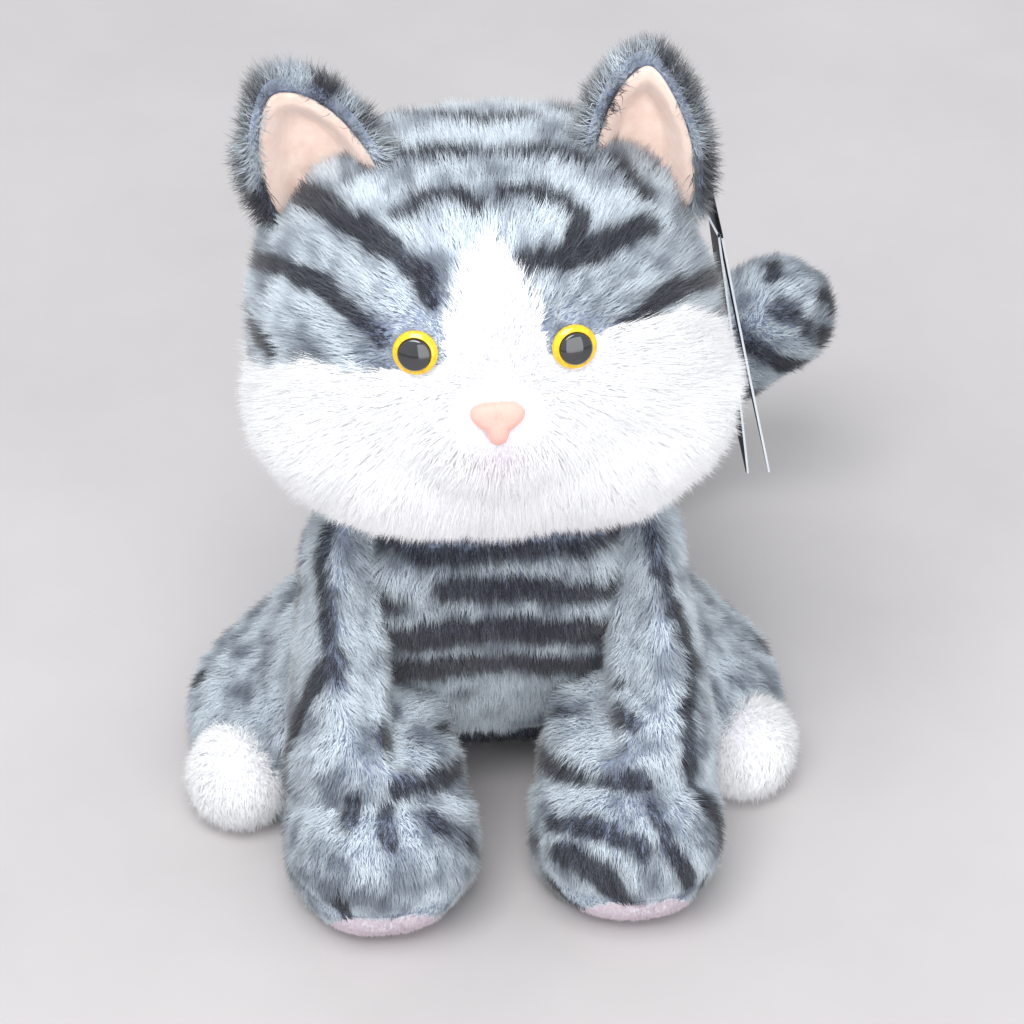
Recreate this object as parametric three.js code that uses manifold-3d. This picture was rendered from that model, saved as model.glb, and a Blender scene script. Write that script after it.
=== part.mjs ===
// A sitting plush cat, 250 mm tall, in millimetres with +Z up.
// The cat faces -Y, so its own left side is +X. The origin is on the flat base
// panel that it sits on. Every limb, the head, the tail, both ears and the hang
// tag are separate bodies that meet along planes or balls centred on their hinges,
// so that each one turns without cutting into what carries it.

import * as THREE from 'three';
import { mergeVertices } from 'three/addons/utils/BufferGeometryUtils.js';
import Module from 'manifold-3d';

const wasm = await Module();
wasm.setup();

// ---------------------------------------------------------------- dimensions

const GAP = 0.3; // between pieces that touch
const FABRIC = 2.5; // plush backing with its flattened pile
const FAR = 400; // reach of a cutting block
const SIDES = [['left', 1], ['right', -1]];

const BODY_HALF_WIDTH = 34; // the legs are sewn on at this distance from the middle
const NECK_HEIGHT = 118; // the head is sewn on at this height
const BASE_THICKNESS = 3;
const POUCH_HEIGHT = 18;

// Torso sections from the base up: height, middle (Y), half width and half depth.
const TORSO = [
  { z: 0, y: 2, wide: 29, deep: 27 },
  { z: 16, y: 2, wide: 34, deep: 33 },
  { z: 50, y: -3, wide: 34, deep: 41 },
  { z: NECK_HEIGHT - 38, y: -13, wide: 34, deep: 42 },
  { z: NECK_HEIGHT - 18, y: -21, wide: 34, deep: 34 },
  { z: NECK_HEIGHT, y: -27, wide: 28, deep: 24 },
];
const TORSO_FULLNESS = 4; // over 2, so the sides are flat where the legs are sewn on
const CHEST_SEAM_Y = -28; // chest panel in front, back panels behind

const HEAD = {
  centre: [0, -30, NECK_HEIGHT + 51],
  half: [62, 49, 52],
  fullness: 2.4,
  seamY: -24, // crown and face in front, back panels behind
};
const CHEEK = { offset: [25, -13, -17], half: [38, 34, 31] };
const FACE_SHIFT = -2.4; // the whole face is set this far towards the cat's right
const MUZZLE = { offset: [FACE_SHIFT, -29, -4], half: [27, 26, 21] };

// White face panel, seen from the front and measured from the middle of the head.
const FACE = {
  sideDrop: -10, // height of its edge at the side of the head
  cheekReach: 47, // the edge runs level from the eye out to here
  browLine: 17, // height of the edge beside the eye
  blazeHalfWidth: 13.5,
  blazeTaper: 0.8, // share of that width left at the shoulder
  blazeShoulder: 34, // height where the blaze starts to narrow
  blazeTop: 46,
};

const EYE = {
  spread: 20.6,
  rise: 21.7,
  radius: 6,
  rimDepth: 0.8, // the disc's edge goes this far into the fabric
  pupilRadius: 4.4,
  pupilSink: 0.2,
  pupilRise: 1, // how far the pupil's dome stands over the disc's own
  depth: 2.2,
  stemRadius: 1.8,
  stemLength: 11,
  washerRadius: 6.2,
  washerThickness: 1.4,
};
const NOSE = {
  rise: 5,
  radius: 8.4, // of the hollow in the fabric that it sits in
  halfWidth: 7.4,
  height: 12,
  depth: 3,
  bevel: 0.8,
  tilt: 0.3, // radians that it looks upward
  stemRadius: 1.8,
  stemLength: 10,
  washerRadius: 5.5,
  washerThickness: 1.4,
};

// Half of the nose's outline from the top middle down: a bend and an end for each
// curve, in shares of its half width and its height.
const NOSE_TOP = 0.4;
const NOSE_CURVES = [
  { bend: [1, 0.46], end: [1, 0.12] },
  { bend: [0.85, -0.12], end: [0.42, -0.24] },
  { bend: [0.35, -0.58], end: [0, -0.58] },
];
// Room round the back of an eye or the nose.
const FITTING = {
  sink: 1.2, // depth of the hollow that its head sits in
  washerGap: 1, // the washer stops this far behind the fabric
  play: 1,
  boreSlack: 0.05,
};

// Ears, measured from the middle of the head. The right ear leans outward.
const EAR = {
  inner: [28, 48],
  outer: [54, 31],
  tip: { left: [43, 74], right: [57, 72] },
  y: 6,
  bulge: 4, // how far the edges bow out
  cornerStretch: 1.4, // corners grow by this much more than the edges
  cup: 5, // how far the edges come forward
  back: 3.6,
  lining: 1.2,
  rim: 3.2, // fur back beyond the lining
  seat: 0.9, // flexing room above the head
};

const FRONT_LEG = {
  shoulder: [34, -36, NECK_HEIGHT - 20],
  top: { centre: [38, -38, NECK_HEIGHT - 26], half: [13.5, 19, 22] },
  ankle: { centre: [37, -62, 38], half: [23, 22, 27] },
  paw: { centre: [36, -75, 20], half: [24, 26, 23.5], fullness: 2.5 },
  inset: 50, // the leg reaches under the chest only below this height
  doorway: 9, // radius of its open end, sewn round a hole in the torso
  padFront: 10, // height of the pad at the toes
  padBack: 1.5,
};

const HIND_LEG = {
  hip: [34, -2, 22],
  haunch: { centre: [40, -6, 12], half: [47, 37, 42] },
  foot: { centre: [74, -33, 13], half: [14.5, 16, 14] },
  doorway: 12,
};

const TAIL = {
  baseRadius: 13.5,
  tipRadius: 15,
  baseHeight: 22,
  mouthRadius: 2,
  bends: [[26, 84, 24], [70, 110, 42]],
  tip: [101, 104, 72],
};

// Hang tag: a folded card behind the left ear. Heights and X run from the head.
const TAG = {
  thickness: 0.6,
  width: 38,
  front: 14, // Y of its front edge, from the middle of the head
  top: [HEAD.half[0] - 7, 31],
  bend: [HEAD.half[0] + 1.3, 13],
  bottom: [HEAD.half[0] + 12.6, -72],
  spread: 5, // how far the outer leaf stands off at its lower edge
  hole: 2.8,
  holeInset: [2.5, 6, 4], // from the front top corner: outward, back and down
  foldGap: 0.5,
  loopRadius: 0.8,
  loopReach: 9, // from the hole into the head
  loopRise: 3,
  loopForward: 5, // its inner end comes this far forward, to the ear's base
  stop: [1, 5.6, 1.4],
  stopReach: 2.5, // the loop's bar lies this far outside the card
};

const BALL_SEGMENTS = [16, 9];
const SMALL_BALL_SEGMENTS = [12, 8];
const LIMB_SEGMENTS = 12;
const ROUND_SEGMENTS = 12;
const TORSO_STEP = 13;
const TAIL_STEPS = 7;

// ------------------------------------------------------------------- solids

function toSolid(geometry) {
  const bare = geometry.clone();
  bare.deleteAttribute('normal');
  bare.deleteAttribute('uv');
  const merged = mergeVertices(bare, 1e-4);
  return new wasm.Manifold(new wasm.Mesh({
    numProp: 3,
    vertProperties: new Float32Array(merged.attributes.position.array),
    triVerts: new Uint32Array(merged.index.array),
  }));
}

function toGeometry(solid) {
  const mesh = solid.getMesh();
  const geometry = new THREE.BufferGeometry();
  geometry.setAttribute('position', new THREE.BufferAttribute(mesh.vertProperties, 3));
  geometry.setIndex(new THREE.BufferAttribute(mesh.triVerts, 1));
  geometry.computeVertexNormals();
  return geometry;
}

// Moves every vertex of a geometry through a function of its place.
function reshape(geometry, place) {
  const position = geometry.attributes.position;
  const point = new THREE.Vector3();
  for (let i = 0; i < position.count; i += 1) {
    point.fromBufferAttribute(position, i);
    position.setXYZ(i, ...place(point).toArray());
  }
  return geometry;
}

function block(low, high) {
  const size = high.map((value, axis) => value - low[axis]);
  const geometry = new THREE.BoxGeometry(...size);
  geometry.translate(...low.map((value, axis) => value + size[axis] / 2));
  return toSolid(geometry);
}

// An ellipsoid, or with a fullness over 2 a slightly boxy one. Grow is an offset.
function ball({ centre, half, fullness = 2 }, grow = 0, segments = BALL_SEGMENTS) {
  const geometry = new THREE.SphereGeometry(1, ...segments);
  geometry.rotateX(Math.PI / 2);
  return toSolid(reshape(geometry, (p) => {
    const sum = [p.x, p.y, p.z].reduce((total, v) => total + Math.abs(v) ** fullness, 0);
    const scale = sum ** (-1 / fullness);
    return new THREE.Vector3(
      centre[0] + p.x * scale * (half[0] + grow),
      centre[1] + p.y * scale * (half[1] + grow),
      centre[2] + p.z * scale * (half[2] + grow),
    );
  }));
}

function mirrored(vector, sign) {
  return [vector[0] * sign, vector[1], vector[2]];
}

function onSide(shape, sign) {
  return { ...shape, centre: mirrored(shape.centre, sign) };
}

// Keeps what lies outside the torso's width on one side, above a floor.
function outsideBody(sign, inset = 0) {
  const near = BODY_HALF_WIDTH + GAP / 2 + inset;
  const x = [near * sign, FAR * sign].sort((a, b) => a - b);
  return block([x[0], -FAR, inset], [x[1], FAR, FAR]);
}

// A disc or rod along +Z.
function rod(radius, from, to, segments = ROUND_SEGMENTS) {
  const geometry = new THREE.CylinderGeometry(radius, radius, to - from, segments);
  geometry.rotateX(Math.PI / 2);
  geometry.translate(0, 0, (from + to) / 2);
  return toSolid(geometry);
}

const cat = new THREE.Group();

function add(name, solid, colour, roughness, parent = cat) {
  const material = new THREE.MeshStandardMaterial({ color: colour, roughness, metalness: 0 });
  const mesh = new THREE.Mesh(toGeometry(solid), material);
  mesh.name = name;
  parent.add(mesh);
  return mesh;
}

const COLOUR = {
  tabby: 0x9aa5b8,
  tabbyDark: 0x6f7a90,
  white: 0xf4f4f8,
  felt: 0xf2dccb,
  stuffing: 0xfbfbf6,
  pellets: 0xe8e4d8,
  iris: 0xe2b417,
  pupil: 0x121214,
  nose: 0xf2c6bc,
  plastic: 0xf0f0ee,
  card: 0x1c1d22,
};

// -------------------------------------------------------------------- torso

function torsoSection(z) {
  const above = Math.max(1, TORSO.findIndex((level) => level.z >= z));
  const [low, high] = [TORSO[above - 1], TORSO[above]];
  const share = THREE.MathUtils.smoothstep(z, low.z, high.z);
  const mix = (key) => THREE.MathUtils.lerp(low[key], high[key], share);
  return { y: mix('y'), wide: mix('wide'), deep: mix('deep') };
}

// The torso from one height to another, drawn in by an inset all round.
function torsoSolid(inset, from, to) {
  const height = NECK_HEIGHT + 2 * TORSO_STEP;
  const steps = Math.round(height / TORSO_STEP);
  const geometry = new THREE.CylinderGeometry(1, 1, height, BALL_SEGMENTS[0], steps);
  geometry.rotateX(Math.PI / 2);
  geometry.translate(0, 0, NECK_HEIGHT / 2);
  return toSolid(reshape(geometry, (p) => {
    const section = torsoSection(THREE.MathUtils.clamp(p.z, 0, NECK_HEIGHT));
    const wide = Math.min(section.wide, BODY_HALF_WIDTH - GAP / 2) - inset;
    const sum = Math.abs(p.x) ** TORSO_FULLNESS + Math.abs(p.y) ** TORSO_FULLNESS;
    const scale = Math.hypot(p.x, p.y) * Math.max(sum, 1e-9) ** (-1 / TORSO_FULLNESS);
    const [x, y] = [p.x * scale * wide, p.y * scale * (section.deep - inset)];
    return new THREE.Vector3(x, section.y + y, p.z);
  })).intersect(block([-FAR, -FAR, from], [FAR, FAR, to]));
}

function buildTorso() {
  const top = NECK_HEIGHT - GAP / 2;
  const floor = BASE_THICKNESS + GAP;
  const shell = torsoSolid(0, floor, top).subtract(torsoSolid(FABRIC, 0, NECK_HEIGHT));

  add('base_panel', torsoSolid(0, 0, BASE_THICKNESS), COLOUR.tabbyDark, 0.95);
  const front = block([-FAR, -FAR, 0], [FAR, CHEST_SEAM_Y - GAP / 2, FAR]);
  add('chest_panel', shell.intersect(front), COLOUR.tabby, 0.95);
  for (const [side, sign] of SIDES) {
    const x = [GAP / 2 * sign, FAR * sign].sort((a, b) => a - b);
    const rear = block([x[0], CHEST_SEAM_Y + GAP / 2, 0], [x[1], FAR, FAR]);
    add(`back_panel_${side}`, shell.intersect(rear), COLOUR.tabby, 0.95);
  }

  const pouchTop = floor + POUCH_HEIGHT;
  const fill = FABRIC + GAP;
  add('pellet_pouch', torsoSolid(fill, floor, pouchTop), COLOUR.pellets, 0.9);
  add('torso_stuffing', torsoSolid(fill, pouchTop + GAP, top), COLOUR.stuffing, 1);
}

// --------------------------------------------------------------------- head

const HEAD_CENTRE = new THREE.Vector3(...HEAD.centre);

function fromHead(offset, sign = 1) {
  return mirrored(offset, sign).map((value, axis) => value + HEAD.centre[axis]);
}

function headSolid(grow) {
  const muzzle = { centre: fromHead(MUZZLE.offset), half: MUZZLE.half };
  let head = ball(HEAD, grow).add(ball(muzzle, grow, SMALL_BALL_SEGMENTS));
  for (const [, sign] of SIDES) {
    const cheek = { centre: fromHead(CHEEK.offset, sign), half: CHEEK.half };
    head = head.add(ball(cheek, grow, SMALL_BALL_SEGMENTS));
  }
  return head;
}

// Where the head's own ball has the X and height of a feature on the face.
function facePoint(spread, rise) {
  const [wide, deep, tall] = HEAD.half;
  const power = HEAD.fullness;
  const left = 1 - Math.abs(spread / wide) ** power - Math.abs(rise / tall) ** power;
  return HEAD_CENTRE.clone().add(new THREE.Vector3(spread, -deep * left ** (1 / power), rise));
}

function faceNormal(point) {
  const local = point.clone().sub(HEAD_CENTRE).toArray();
  const slopes = local.map((value, axis) => (
    Math.sign(value) * Math.abs(value / HEAD.half[axis]) ** (HEAD.fullness - 1) / HEAD.half[axis]
  ));
  return new THREE.Vector3(...slopes).normalize();
}

// The white panel's outline as a prism along Y, grown by a margin.
function faceCutter(margin) {
  const { sideDrop, cheekReach, browLine } = FACE;
  const { blazeHalfWidth, blazeTaper, blazeShoulder, blazeTop } = FACE;
  const outline = [
    [FAR / 2, -FAR / 2],
    [FAR / 2, sideDrop + margin],
    [HEAD.half[0], sideDrop + margin],
    [cheekReach, browLine + margin],
    [blazeHalfWidth + margin, browLine + margin],
    [blazeHalfWidth * blazeTaper + margin, blazeShoulder],
  ];
  const left = outline.map(([x, z]) => [-x, z]).reverse();
  const shape = new THREE.Shape(
    [...outline, [0, blazeTop + margin], ...left].map(([x, z]) => new THREE.Vector2(x, z)),
  );
  const geometry = new THREE.ExtrudeGeometry(shape, { depth: FAR, bevelEnabled: false });
  geometry.rotateX(Math.PI / 2);
  geometry.translate(FACE_SHIFT, HEAD.centre[1] + FAR / 2, HEAD.centre[2]);
  return toSolid(geometry);
}

// Places of the eyes and the nose: a point on the fabric and the way it faces.
function faceMounts() {
  const mounts = {};
  for (const [side, sign] of SIDES) {
    const point = facePoint(EYE.spread * sign + FACE_SHIFT, EYE.rise);
    mounts[`eye_${side}`] = { point, normal: faceNormal(point), fitting: EYE };
  }
  const [, reach, tall] = MUZZLE.half;
  const lift = (NOSE.rise - MUZZLE.offset[2]) / tall;
  const forward = MUZZLE.offset[1] - reach * Math.sqrt(1 - lift ** 2);
  mounts.nose = {
    point: new THREE.Vector3(...fromHead([FACE_SHIFT, forward, NOSE.rise])),
    normal: new THREE.Vector3(0, -Math.cos(NOSE.tilt), Math.sin(NOSE.tilt)),
    fitting: NOSE,
  };
  return mounts;
}

const MOUNTS = faceMounts();

function frameAt({ point, normal }) {
  const across = new THREE.Vector3(0, 0, 1).cross(normal).normalize();
  const up = normal.clone().cross(across);
  return new THREE.Matrix4().makeBasis(across, up, normal).setPosition(point);
}

function placed(solid, mount) {
  return solid.transform(frameAt(mount).toArray());
}

const WASHER_FACE = -FABRIC - GAP - FITTING.washerGap;

// Room for a safety eye or nose: its head, its stem and its washer.
function fittingRoom(mount) {
  const { radius, stemRadius, stemLength, washerRadius, washerThickness } = mount.fitting;
  const washerBack = WASHER_FACE - washerThickness - FITTING.play;
  return placed(
    rod(radius + GAP, -FITTING.sink, 2 * radius)
      .add(rod(stemRadius + GAP, -stemLength - GAP, radius))
      .add(rod(washerRadius + GAP, washerBack - GAP, FITTING.play - FABRIC)),
    mount,
  );
}

function buildHead() {
  const floor = NECK_HEIGHT + GAP / 2;
  const aboveNeck = block([-FAR, -FAR, floor], [FAR, FAR, FAR]);
  let shell = headSolid(0).subtract(headSolid(-FABRIC)).intersect(aboveNeck);
  let fill = headSolid(-FABRIC - GAP)
    .intersect(block([-FAR, -FAR, floor + GAP], [FAR, FAR, FAR]));
  for (const mount of Object.values(MOUNTS)) {
    const room = fittingRoom(mount);
    shell = shell.subtract(room);
    fill = fill.subtract(room);
  }
  add('head_stuffing', fill, COLOUR.stuffing, 1);

  const seam = HEAD.seamY;
  const front = shell.intersect(block([-FAR, -FAR, 0], [FAR, seam - GAP / 2, FAR]));
  add('face_panel', front.intersect(faceCutter(0)), COLOUR.white, 0.95);
  add('crown_panel', front.subtract(faceCutter(GAP)), COLOUR.tabby, 0.95);
  for (const [side, sign] of SIDES) {
    const x = [GAP / 2 * sign, FAR * sign].sort((a, b) => a - b);
    const rear = shell.intersect(block([x[0], seam + GAP / 2, 0], [x[1], FAR, FAR]));
    add(`head_back_${side}`, rear, COLOUR.tabby, 0.95);
  }
}

function washer(fitting) {
  const { washerRadius, washerThickness, stemRadius } = fitting;
  const back = WASHER_FACE - washerThickness;
  const bore = stemRadius + FITTING.boreSlack;
  const profile = [
    [bore, back],
    [washerRadius, back],
    [washerRadius, WASHER_FACE],
    [bore, WASHER_FACE],
    [bore, back],
  ].map(([x, y]) => new THREE.Vector2(x, y));
  const geometry = new THREE.LatheGeometry(profile, ROUND_SEGMENTS);
  geometry.rotateX(Math.PI / 2);
  return toSolid(geometry);
}

// A dished yellow disc with a stem, and a black pupil dome set into it.
function buildEye(side) {
  const mount = MOUNTS[`eye_${side}`];
  const socket = new THREE.Group();
  socket.applyMatrix4(frameAt(mount));
  cat.add(socket);

  const dome = { centre: [0, 0, 0], half: [EYE.radius, EYE.radius, EYE.depth] };
  const iris = ball(dome, 0, SMALL_BALL_SEGMENTS)
    .intersect(block([-FAR, -FAR, -EYE.rimDepth], [FAR, FAR, FAR]))
    .add(rod(EYE.stemRadius, -EYE.stemLength, 0))
    .subtract(rod(EYE.pupilRadius, -EYE.pupilSink, FAR));
  add(`eye_iris_${side}`, iris, COLOUR.iris, 0.15, socket);

  const pupilDome = { ...dome, half: [EYE.radius, EYE.radius, EYE.depth + EYE.pupilRise] };
  const pupil = ball(pupilDome, 0, SMALL_BALL_SEGMENTS)
    .intersect(rod(EYE.pupilRadius - GAP / 2, GAP / 2 - EYE.pupilSink, FAR));
  add(`eye_pupil_${side}`, pupil, COLOUR.pupil, 0.08, socket);
  add(`eye_washer_${side}`, washer(EYE), COLOUR.plastic, 0.5, socket);
}

// A flocked nose: broad and flat above, drawn in to a small rounded lobe below.
function buildNose() {
  const socket = new THREE.Group();
  socket.applyMatrix4(frameAt(MOUNTS.nose));
  cat.add(socket);

  const { halfWidth, height, depth, bevel } = NOSE;
  const shape = new THREE.Shape();
  shape.moveTo(0, height * NOSE_TOP);
  const curveTo = (sign, bend, end) => shape.quadraticCurveTo(
    sign * bend[0] * halfWidth, bend[1] * height, sign * end[0] * halfWidth, end[1] * height,
  );
  NOSE_CURVES.forEach(({ bend, end }) => curveTo(1, bend, end));
  const starts = [[0, NOSE_TOP], ...NOSE_CURVES.map(({ end }) => end)];
  for (let i = NOSE_CURVES.length - 1; i >= 0; i -= 1) {
    curveTo(-1, NOSE_CURVES[i].bend, starts[i]);
  }
  const pad = new THREE.ExtrudeGeometry(shape, {
    depth: depth - bevel,
    bevelThickness: bevel,
    bevelSize: bevel,
    bevelOffset: -bevel,
    bevelSegments: 2,
    curveSegments: 5,
  });
  const solid = toSolid(pad).add(rod(NOSE.stemRadius, -NOSE.stemLength, bevel));
  add('nose', solid, COLOUR.nose, 0.8, socket);
  add('nose_washer', washer(NOSE), COLOUR.plastic, 0.5, socket);
}

// --------------------------------------------------------------------- ears

// The ear's outline between its two lower corners and its tip, in X and height.
function earShape(side, sign, margin) {
  const middle = [EAR.inner, EAR.outer, EAR.tip[side]]
    .reduce((sum, [x, z]) => [sum[0] + x / 3, sum[1] + z / 3], [0, 0]);
  const away = (point, distance) => {
    const step = new THREE.Vector2(point[0] - middle[0], point[1] - middle[1]);
    const grown = step.setLength(step.length() + distance);
    return new THREE.Vector2(sign * (middle[0] + grown.x), middle[1] + grown.y);
  };
  const halfway = (a, b) => [(a[0] + b[0]) / 2, (a[1] + b[1]) / 2];
  const { inner, outer, bulge } = EAR;
  const tip = EAR.tip[side];
  const corners = [inner, outer, tip].map((corner) => away(corner, margin * EAR.cornerStretch));
  const bows = [halfway(inner, outer), halfway(outer, tip), halfway(tip, inner)]
    .map((point) => away(point, margin + bulge));
  const shape = new THREE.Shape();
  shape.moveTo(corners[0].x, corners[0].y);
  bows.forEach((bow, index) => {
    const corner = corners[(index + 1) % 3];
    shape.quadraticCurveTo(bow.x, bow.y, corner.x, corner.y);
  });
  return shape;
}

// A slice of the cupped ear, between two depths behind its front.
function earPlate(side, sign, near, far) {
  const geometry = new THREE.ExtrudeGeometry(earShape(side, sign, EAR.rim), {
    depth: far - near,
    bevelEnabled: false,
    curveSegments: 6,
  });
  const middle = sign * (EAR.inner[0] + EAR.outer[0] + EAR.tip[side][0]) / 3;
  const reach = (EAR.outer[0] - EAR.inner[0]) / 2;
  return toSolid(reshape(geometry, (p) => {
    const forward = EAR.cup * Math.min(1, ((p.x - middle) / reach) ** 2);
    return new THREE.Vector3(p.x, EAR.y + far - p.z - forward, p.y).add(HEAD_CENTRE);
  }));
}

function liningOutline(side, sign) {
  const geometry = new THREE.ExtrudeGeometry(earShape(side, sign, 0), {
    depth: FAR,
    bevelEnabled: false,
    curveSegments: 6,
  });
  geometry.rotateX(Math.PI / 2);
  geometry.translate(0, FAR / 2, HEAD.centre[2]);
  return toSolid(geometry);
}

function buildEar(side, sign) {
  const room = headSolid(EAR.seat);
  const seam = EAR.lining + GAP;
  const back = earPlate(side, sign, seam, seam + EAR.back).subtract(room);
  const lining = earPlate(side, sign, 0, EAR.lining)
    .intersect(liningOutline(side, sign))
    .subtract(room);
  add(`ear_back_${side}`, back, COLOUR.tabbyDark, 0.95);
  add(`ear_lining_${side}`, lining, COLOUR.felt, 0.9);
}

// --------------------------------------------------------------------- legs

function frontLegSolid(sign, inset) {
  const [top, ankle, paw] = [FRONT_LEG.top, FRONT_LEG.ankle, FRONT_LEG.paw]
    .map((shape) => ball(onSide(shape, sign), -inset, SMALL_BALL_SEGMENTS));
  const upper = toSolid(hullBetween(FRONT_LEG.top, FRONT_LEG.ankle, sign, inset));
  const inner = block([-FAR, -FAR, inset], [FAR, FAR, FRONT_LEG.inset - inset]);
  const allowed = outsideBody(sign, inset).add(inner)
    .subtract(torsoSolid(-GAP - inset, -FAR, NECK_HEIGHT));
  return top.add(upper).add(ankle).add(paw).intersect(allowed);
}

// A tapered barrel that joins two balls of a limb, ring by ring.
function hullBetween(from, to, sign, inset) {
  const geometry = new THREE.CylinderGeometry(1, 1, 1, LIMB_SEGMENTS, 1);
  geometry.rotateX(Math.PI / 2);
  return reshape(geometry, (p) => {
    const share = 0.5 - p.z;
    const mix = (key, axis) => THREE.MathUtils.lerp(from[key][axis], to[key][axis], share);
    return new THREE.Vector3(
      sign * mix('centre', 0) + p.x * (mix('half', 0) - inset),
      mix('centre', 1) + p.y * (mix('half', 1) - inset),
      mix('centre', 2),
    );
  });
}

// Everything under the slanted seam between the paw and its pad.
function padCutter(lift) {
  const { paw, padFront, padBack } = FRONT_LEG;
  const [middle, deep] = [paw.centre[1], paw.half[1]];
  const shape = new THREE.Shape([
    [middle - 2 * deep, -deep],
    [middle + 2 * deep, -deep],
    [middle + 2 * deep, padBack + lift],
    [middle, padBack + lift],
    [middle - deep, padFront + lift],
    [middle - 2 * deep, padFront + lift],
  ].map(([y, z]) => new THREE.Vector2(y, z)));
  const geometry = new THREE.ExtrudeGeometry(shape, { depth: FAR, bevelEnabled: false });
  geometry.rotateX(Math.PI / 2);
  geometry.rotateZ(Math.PI / 2);
  geometry.translate(-FAR / 2, 0, 0);
  return toSolid(geometry);
}

function buildFrontLeg(side, sign) {
  const outer = frontLegSolid(sign, 0);
  const cavity = frontLegSolid(sign, FABRIC).subtract(padCutter(FABRIC));
  const doorway = doorwayAt(FRONT_LEG.shoulder, sign, FRONT_LEG.doorway);
  const cover = outer.subtract(padCutter(GAP)).subtract(cavity).subtract(doorway);
  add(`front_leg_${side}`, cover, COLOUR.tabby, 0.95);
  const fill = frontLegSolid(sign, FABRIC + GAP).subtract(padCutter(FABRIC + GAP));
  add(`front_leg_stuffing_${side}`, fill, COLOUR.stuffing, 1);
  add(`front_paw_pad_${side}`, outer.intersect(padCutter(0)), COLOUR.felt, 0.95);
}

// The open end of a limb's cover, where it is sewn round a hole in the torso.
function doorwayAt(hinge, sign, radius) {
  const door = rod(radius, -FABRIC * 2, FABRIC * 2);
  const turn = new THREE.Matrix4().makeRotationY(Math.PI / 2).setPosition(...mirrored(hinge, sign));
  return door.transform(turn.toArray());
}

function haunchSolid(sign, inset) {
  return ball(onSide(HIND_LEG.haunch, sign), -inset).intersect(outsideBody(sign, inset));
}

function buildHindLeg(side, sign) {
  const outer = haunchSolid(sign, 0);
  const cavity = haunchSolid(sign, FABRIC);
  const doorway = doorwayAt(HIND_LEG.hip, sign, HIND_LEG.doorway);
  add(`haunch_${side}`, outer.subtract(cavity).subtract(doorway), COLOUR.tabby, 0.95);
  add(`haunch_stuffing_${side}`, haunchSolid(sign, FABRIC + GAP), COLOUR.stuffing, 1);
  const above = block([-FAR, -FAR, 0], [FAR, FAR, FAR]);
  const foot = ball(onSide(HIND_LEG.foot, sign), 0, SMALL_BALL_SEGMENTS)
    .intersect(above)
    .subtract(ball(onSide(HIND_LEG.haunch, sign), GAP));
  add(`hind_foot_${side}`, foot, COLOUR.white, 0.95);
}

// --------------------------------------------------------------------- tail

function tailPivot() {
  const section = torsoSection(TAIL.baseHeight);
  return [0, section.y + section.deep + GAP + TAIL.baseRadius, TAIL.baseHeight];
}

function tailSolid(inset) {
  const points = [tailPivot(), ...TAIL.bends, TAIL.tip].map((p) => new THREE.Vector3(...p));
  const spine = new THREE.CatmullRomCurve3(points);
  const geometry = new THREE.CylinderGeometry(1, 1, 1, LIMB_SEGMENTS, TAIL_STEPS);
  geometry.rotateX(Math.PI / 2);
  const up = new THREE.Vector3(0, 0, 1);
  const radiusAt = (share) => THREE.MathUtils.lerp(TAIL.baseRadius, TAIL.tipRadius, share) - inset;
  const tube = toSolid(reshape(geometry, (p) => {
    const share = p.z + 0.5;
    const across = spine.getTangentAt(share).cross(up).normalize();
    const lift = spine.getTangentAt(share).cross(across);
    const radius = radiusAt(share);
    return spine.getPointAt(share)
      .addScaledVector(across, p.x * radius)
      .addScaledVector(lift, p.y * radius);
  }));
  const end = (point, radius) => ball(
    { centre: point, half: [radius, radius, radius] }, 0, SMALL_BALL_SEGMENTS,
  );
  return tube.add(end(tailPivot(), radiusAt(0))).add(end(TAIL.tip, radiusAt(1)));
}

function buildTail() {
  const [x, y, z] = tailPivot();
  const mouth = rod(TAIL.mouthRadius, 0, TAIL.baseRadius + 2 * FABRIC);
  const turn = new THREE.Matrix4().makeRotationX(Math.PI / 2).setPosition(x, y, z);
  const cover = tailSolid(0).subtract(tailSolid(FABRIC)).subtract(mouth.transform(turn.toArray()));
  add('tail', cover, COLOUR.tabby, 0.95);
  add('tail_stuffing', tailSolid(FABRIC + GAP), COLOUR.stuffing, 1);
}

// ---------------------------------------------------------------------- tag

// One leaf of the card: a bent strip seen from the front, drawn out along Y.
function leaf(corners) {
  const outline = [
    ...corners,
    ...corners.map(([x, z]) => [x + TAG.thickness, z]).reverse(),
  ].map(([x, z]) => new THREE.Vector2(x, z));
  const geometry = new THREE.ExtrudeGeometry(new THREE.Shape(outline), {
    depth: TAG.width,
    bevelEnabled: false,
  });
  geometry.rotateX(Math.PI / 2);
  geometry.translate(0, TAG.width, 0);
  geometry.translate(...fromHead([0, TAG.front, 0]));
  return toSolid(geometry);
}

function tagHole() {
  const [outward, back, down] = TAG.holeInset;
  return fromHead([TAG.top[0] + outward, TAG.front + back, TAG.top[1] - down]);
}

function buildTag() {
  const hole = rod(TAG.hole, -TAG.loopReach, TAG.loopReach)
    .transform(new THREE.Matrix4().makeRotationY(Math.PI / 2).setPosition(...tagHole()).toArray());
  const inner = leaf([TAG.top, TAG.bend, TAG.bottom]).subtract(hole);
  add('tag_inner_leaf', inner, COLOUR.card, 0.4);
  const step = TAG.thickness + TAG.foldGap;
  const outer = leaf([
    [TAG.bend[0] + step, TAG.bend[1]],
    [TAG.bottom[0] + step + TAG.spread, TAG.bottom[1]],
  ]);
  add('tag_outer_leaf', outer, COLOUR.card, 0.4);
}

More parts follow.
